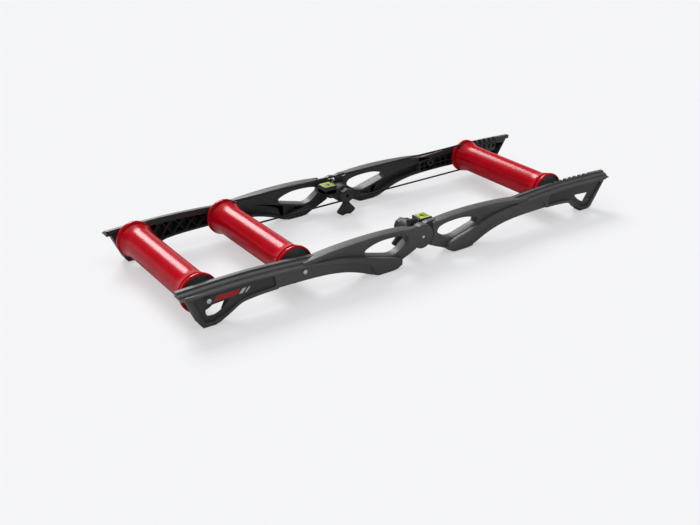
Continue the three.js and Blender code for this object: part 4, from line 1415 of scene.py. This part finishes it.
@dataclass
class Roller:
    """One drum on its axle: the waisted shell, two end caps, two bearings and the axle."""

    place: str
    x: float
    z: float
    half_length: float = 187.0
    waist: float = 41.0
    shoulder: float = 47.0
    ring: float = 50.0
    ring_width: float = 9.0
    groove_width: float = 9.0
    groove_radius: float = 38.7
    wall: float = 2.8
    flare: float = 34.0
    cap_radius: float = 44.4
    cap_recess: float = 3.0
    cap_thickness: float = 3.0
    web_span: Pair = (17.4, 40.6)
    webs: int = 12
    bearing_radius: float = 13.0
    bearing_width: float = 8.0
    axle_radius: float = 5.0

    def seated(self, shells: list[Shell], way: int = 1) -> list[Shell]:
        """Returns shells about the origin moved to the drum's axis, mirrored end for end where way is -1."""
        return [shell.moved((1, way, 1), (self.x, 0, self.z)) for shell in shells]

    def drum(self) -> list[Shell]:
        """Builds the drum's shell.

        Formula: a closed profile turned about the axle; from the waist the radius grows by the square of the
        distance into the flare, then come the belt groove and the rounded end ring.

        Returns:
            The shell.
        """
        end, top, base = self.half_length, self.ring, self.groove_radius
        ring, groove = end - self.ring_width, end - self.ring_width - self.groove_width
        share = np.linspace(0, 1, 14)[:-1]
        radius = self.waist + (self.shoulder - self.waist) * share ** 2
        flare = np.stack([radius, groove - self.flare * (1 - share)], 1)
        seat, bore = self.cap_radius + GAP, base - self.wall
        step = end - self.cap_recess - self.cap_thickness - GAP
        half = np.vstack([
            flare, [self.shoulder - 0.2, groove - 0.9], [self.shoulder - 0.9, groove - 0.1],
            [base + 0.7, groove + 1.3], [base, groove + 2.2], [base, ring - 2.2], [base + 0.7, ring - 1.3],
            [top - 1.6, ring], [top - 0.5, ring + 0.5], [top, ring + 1.7], [top, end - 1.7],
            [top - 0.5, end - 0.5], [top - 1.6, end], [seat + 0.6, end], [seat, end - 0.6],
            [seat, step], [bore, step - (seat - bore)]])
        return self.seated([turned(np.vstack([(half * (1, -1))[::-1], half]), 128, True)])

    def cap(self, way: int) -> list[Shell]:
        """Builds one end cap: a dished disc with a raised rim, a ring of webs and a hub for the bearing.

        Args:
            way: 1 for the left end, -1 for the right one.

        Returns:
            The disc and its webs.
        """
        face, r = self.half_length - self.cap_recess, self.cap_radius
        seat, inner = self.bearing_radius + GAP, face - self.cap_thickness
        back = face - self.bearing_width - GAP
        profile = np.array([
            [seat, face + 1], [seat + 3.6, face + 1], [seat + 4.6, face + 0.6], [seat + 5, face - 0.6],
            [r - 4.4, face - 1.2], [r - 3.6, face - 0.2], [r - 0.8, face], [r, face - 0.8], [r, inner],
            [18, inner], [18, face - 12], [7, face - 12], [7, back], [seat, back]])
        angle = np.linspace(0, FULL_TURN, self.webs, endpoint=False)
        rays = np.stack([np.cos(angle), np.sin(angle)], 1)
        near, far = self.web_span
        webs = [slab(ray * near, ray * far, 1.8, face - 1.6, face - 0.1) for ray in rays]
        return self.seated([turned(profile, 96, True), *webs], way)

    def bearing(self, way: int) -> list[Shell]:
        """Builds one bearing: outer ring, recessed shield and inner ring as one turned profile.

        Args:
            way: 1 for the left end, -1 for the right one.

        Returns:
            The bearing.
        """
        face, bore, r = self.half_length - self.cap_recess, self.axle_radius + GAP, self.bearing_radius
        back = face - self.bearing_width
        profile = np.array([
            [bore, back], [r - 0.5, back], [r, back + 0.5], [r, face - 0.5], [r - 0.5, face], [r - 2.2, face],
            [r - 2.5, face - 0.7], [bore + 2.3, face - 0.7], [bore + 2.0, face], [bore + 0.4, face],
            [bore, face - 0.4]])
        return self.seated([turned(profile, 64, True)], way)

    def axle(self) -> list[Shell]:
        """Builds the axle, a rod with chamfered ends and a locating collar line near each bearing."""
        r, end = self.axle_radius, RAIL_INNER + 9
        half = np.array([
            [r, 172.0], [r, 186.6], [r - 0.25, 186.9], [r - 0.25, 187.7], [r, 188.0], [r, end - 0.8],
            [r - 0.8, end]])
        return self.seated([turned(np.vstack([(half * (1, -1))[::-1], half]), 48)])

    def build(self) -> None:
        """Shows this roller's pieces."""
        body = f"{self.place}_roller"
        show(f"{self.place}_drum", self.drum(), Finish.DRUM, body, 45)
        half = "front_half" if self.place == "front" else "rear_half"
        show(f"{self.place}_axle", self.axle(), Finish.STEEL, half)
        for side, way in (("left", 1), ("right", -1)):
            show(f"{self.place}_{side}_end_cap", self.cap(way), Finish.CAP, body)
            show(f"{self.place}_{side}_bearing", self.bearing(way), Finish.STEEL, body)


@dataclass
class DriveBelt:
    """The round belt from the middle drum to the front one."""

    rear: Pair = (-MIDDLE_AXLE[0], MIDDLE_AXLE[1])
    front: Pair = FRONT_AXLE
    radius: float = 2.5
    pitch_radius: float = 41.5
    y: float = 173.5
    steps: int = 40

    def build(self) -> None:
        """Shows the belt.

        Formula: a circle carried along a loop at the pitch radius from a centre. The centre is one axle on
        half a turn round each drum, and slides from axle to axle along each straight run.
        """
        rear, front = np.array(self.rear), np.array(self.front)
        tilt = math.atan2(*(front - rear)[::-1])
        up, down = tilt + QUARTER_TURN, tilt - QUARTER_TURN
        turn = np.linspace(0, math.pi, self.steps)
        run = np.linspace(0, 1, self.steps)[1:-1, None]
        angles = np.r_[up - turn, np.full(len(run), down), down - turn, np.full(len(run), up)]
        centres = np.vstack([
            np.broadcast_to(front, (self.steps, 2)), front + (rear - front) * run,
            np.broadcast_to(rear, (self.steps, 2)), rear + (front - rear) * run])
        out = np.stack([np.cos(angles), np.zeros(len(angles)), np.sin(angles)], 1)
        middle = np.stack([centres[:, 0], np.full(len(angles), self.y), centres[:, 1]], 1)
        belt = tube_round(middle + self.pitch_radius * out, out, self.radius)
        piece = show("drive_belt", [belt], Finish.RUBBER, "")
        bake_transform(piece)


@dataclass
class SmallParts:
    """The rubber pads under the feet and the screws that hold the two rear axles."""

    middle_foot: Pair = (100.1, 156.8)
    pad_height: float = 2.7
    pad_base: float = 1.1
    margin: float = 3.0
    bars: int = 6
    bar_top: float = 1.5
    bar_gap: float = 0.8
    head_height: float = 3.0
    socket_flat: float = 2.6
    middle_face: float = 32.02

    def pad(self, span: Pair, width: float) -> list[Shell]:
        """Builds one pad: a thin rounded plate with a row of cross bars that stand on the floor.

        Args:
            span: where its foot starts and ends along u.
            width: the foot's width.

        Returns:
            The plate and its bars.
        """
        first, last, side = span[0] + self.margin, span[1] - self.margin, width - self.margin
        pitch, gap = (last - first) / self.bars, self.bar_gap
        shells = [box((first, self.margin, self.pad_base), (last, side, self.pad_height), 3, 0.4)]
        for near in first + pitch * np.arange(self.bars) + gap / 2:
            bar = (near, self.margin + gap, 0), (near + pitch - 2 * gap, side - gap, self.bar_top)
            shells.append(box(*bar, 1, 0.4))
        return shells

    def pads(self) -> None:
        """Shows the eight pads."""
        for half, shift in FOOT_SHIFT.items():
            end_foot = (END_FOOT[0] + shift, END_FOOT[1] + shift)
            kinds = {"end": (end_foot, PANEL_WIDTH), "middle": (self.middle_foot, FOOT_WIDTH)}
            for side in ("left", "right"):
                quarter = Quarter(half, side)
                for kind, (span, width) in kinds.items():
                    name = f"{half}_{side}_{kind}_foot_pad"
                    show(name, quarter.place(self.pad(span, width)), Finish.RUBBER, f"{half}_half")

    def screw(self, place: Pair, face: float) -> Shell:
        """Builds one screw: a domed head with a six-sided socket, and its shank.

        Formula of the socket: its wall is at r = a / cos(((t + 30) mod 60) - 30 degrees) round the axis.

        Args:
            place: u and z of the axle.
            face: v of the face that the head sits on.

        Returns:
            The screw.
        """
        angle = np.linspace(0, FULL_TURN, 60, endpoint=False)
        sixth = FULL_TURN / 6
        hexagon = self.socket_flat / np.cos((angle + sixth / 2) % sixth - sixth / 2)
        low, high = face + GAP, face + GAP + self.head_height
        head = np.array([[2.9, 9.6], [2.9, low], [5.4, low], [6.0, low + 0.5], [6.0, high - 1.2],
                         [5.6, high - 0.4], [4.4, high], [3.3, high]])
        radius = np.vstack([head[:, :1] + 0 * angle, hexagon, hexagon])
        height = np.r_[head[:, 1], high - 0.1, low + 1.5][:, None] + 0 * angle
        rings = np.stack([radius * np.cos(angle), height, radius * np.sin(angle)], 2)
        return loft(rings).moved(AS_IT_IS, (place[0], 0, place[1]))

    def screws(self) -> None:
        """Shows the four screws."""
        places = {"rear": (REAR_AXLE, PANEL_WIDTH), "middle": (MIDDLE_AXLE, self.middle_face)}
        for place, (axle, face) in places.items():
            for side in ("left", "right"):
                shown = Quarter("rear", side).place([self.screw(axle, face)])
                show(f"{place}_{side}_axle_screw", shown, Finish.STEEL, "rear_half")

    def build(self) -> None:
        """Shows the pads and screws."""
        self.pads()
        self.screws()


# Set


@dataclass(frozen=True)
class SoftLight:
    """A soft light from one direction: its strength, and how wide it looks from the object, in degrees."""

    name: str
    towards: Place
    strength: float
    spread: float


@dataclass
class Studio:
    """The pale floor, soft light and camera of the photograph."""

    position: Place = (-1.4757, -2.0021, 1.1012)
    target: Place = (-0.2403, -0.2334, 0.06)
    lens: float = 49.473
    sensor: float = 36.0
    roll: float = 0.18
    far_clip: float = 200.0
    floor_size: float = 60.0
    floor_height: float = -0.0002
    backdrop: Colour = (0.890, 0.892, 0.906)
    sky: Colour = (0.923, 0.930, 0.947)
    ceiling: Colour = (0.10, 0.10, 0.105)
    horizon: Pair = (0.06, 0.26)
    bounce: Colour = (0.62, 0.62, 0.63)
    surround: Colour = (0.95, 0.97, 1.0)
    floor_glow: float = 0.57
    ambient: float = 0.15
    lamps: tuple[SoftLight, ...] = (
        SoftLight("key_behind", (0.15, 0.77, 0.60), 2.6, 25.0),
        SoftLight("overhead", (-0.25, -0.05, 1.0), 1.35, 90.0),
    )

    def camera(self) -> None:
        """Sets up the camera that the photograph was fitted with."""
        data = bpy.data.cameras.new("view")
        data.lens, data.sensor_width, data.sensor_fit = self.lens, self.sensor, "HORIZONTAL"
        data.clip_end = self.far_clip
        camera = bpy.data.objects.new("view", data)
        bpy.context.scene.collection.objects.link(camera)
        look = (Vector(self.target) - Vector(self.position)).to_track_quat("-Z", "Y").to_matrix().to_4x4()
        roll = Matrix.Rotation(math.radians(self.roll), 4, "Z")
        camera.matrix_world = Matrix.Translation(self.position) @ look @ roll
        bpy.context.scene.camera = camera

    def floor(self) -> None:
        """Lays the floor, seen half by its own light, so that its shadows stay soft and the ground even."""
        paint = Paint("pale_floor")
        half = self.floor_size / 2
        corners = [(-half, -half, 0), (half, -half, 0), (half, half, 0), (-half, half, 0)]
        mesh = bpy.data.meshes.new("floor")
        mesh.from_pydata(corners, [], [(0, 1, 2, 3)])
        mesh.materials.append(paint.material)
        floor = bpy.data.objects.new("floor", mesh)
        floor.location.z = self.floor_height
        bpy.context.scene.collection.objects.link(floor)
        seen = paint.is_seen_directly()
        colour = paint.blend(seen, self.bounce, self.backdrop)
        diffuse = paint.node("ShaderNodeBsdfDiffuse", values={"Color": colour})
        glow = paint.node("ShaderNodeEmission", values={"Color": self.backdrop, "Strength": 1.0})
        lit = {0: seen * self.floor_glow, 1: diffuse.outputs[0], 2: glow.outputs[0]}
        paint.close(paint.node("ShaderNodeMixShader", values=lit))

    def surroundings(self) -> None:
        """Fills the surround: an even pale light, and a backdrop whose ceiling is dim to gloss and glass."""
        world = bpy.data.worlds.new("surround")
        bpy.context.scene.world = world
        paint = Paint("surround", world)
        even = {"Color": self.surround, "Strength": self.ambient}
        ambient = paint.node("ShaderNodeBackground", values=even)
        direction = paint.node("ShaderNodeTexCoord").outputs["Generated"]
        height = Wire(paint, paint.node("ShaderNodeSeparateXYZ", values={0: direction}).outputs[2])
        dim = height.between(*self.horizon) * (1 - paint.is_seen_directly())
        shown = paint.blend(dim, self.sky, self.ceiling)
        backdrop = paint.node("ShaderNodeBackground", values={"Color": shown, "Strength": 1.0})
        seen = {0: paint.is_shown_background(), 1: ambient.outputs[0], 2: backdrop.outputs[0]}
        paint.close(paint.node("ShaderNodeMixShader", values=seen))

    def light(self) -> None:
        """Hangs the soft lights: one from behind and a broad one from above."""
        for lamp in self.lamps:
            data = bpy.data.lights.new(lamp.name, "SUN")
            data.energy, data.angle = lamp.strength, math.radians(lamp.spread)
            light = bpy.data.objects.new(lamp.name, data)
            light.rotation_euler = Vector(lamp.towards).to_track_quat("Z", "Y").to_euler()
            bpy.context.scene.collection.objects.link(light)

    def build(self) -> None:
        """Builds the set."""
        self.camera()
        self.floor()
        self.surroundings()
        self.light()
        bpy.context.scene.view_settings.view_transform = "Standard"


def main() -> None:
    """Builds the set and every piece."""
    logging.basicConfig(level=logging.INFO, format="%(name)s %(message)s")
    Studio().build()
    for half in ("rear", "front"):
        for side in ("right", "left"):
            HalfRail(Quarter(half, side)).build()
    for side in ("right", "left"):
        FoldLock(side).build()
    Roller("rear", -REAR_AXLE[0], REAR_AXLE[1]).build()
    Roller("middle", -MIDDLE_AXLE[0], MIDDLE_AXLE[1]).build()
    Roller("front", *FRONT_AXLE).build()
    DriveBelt().build()
    SmallParts().build()


if __name__ == "__main__":
    main()
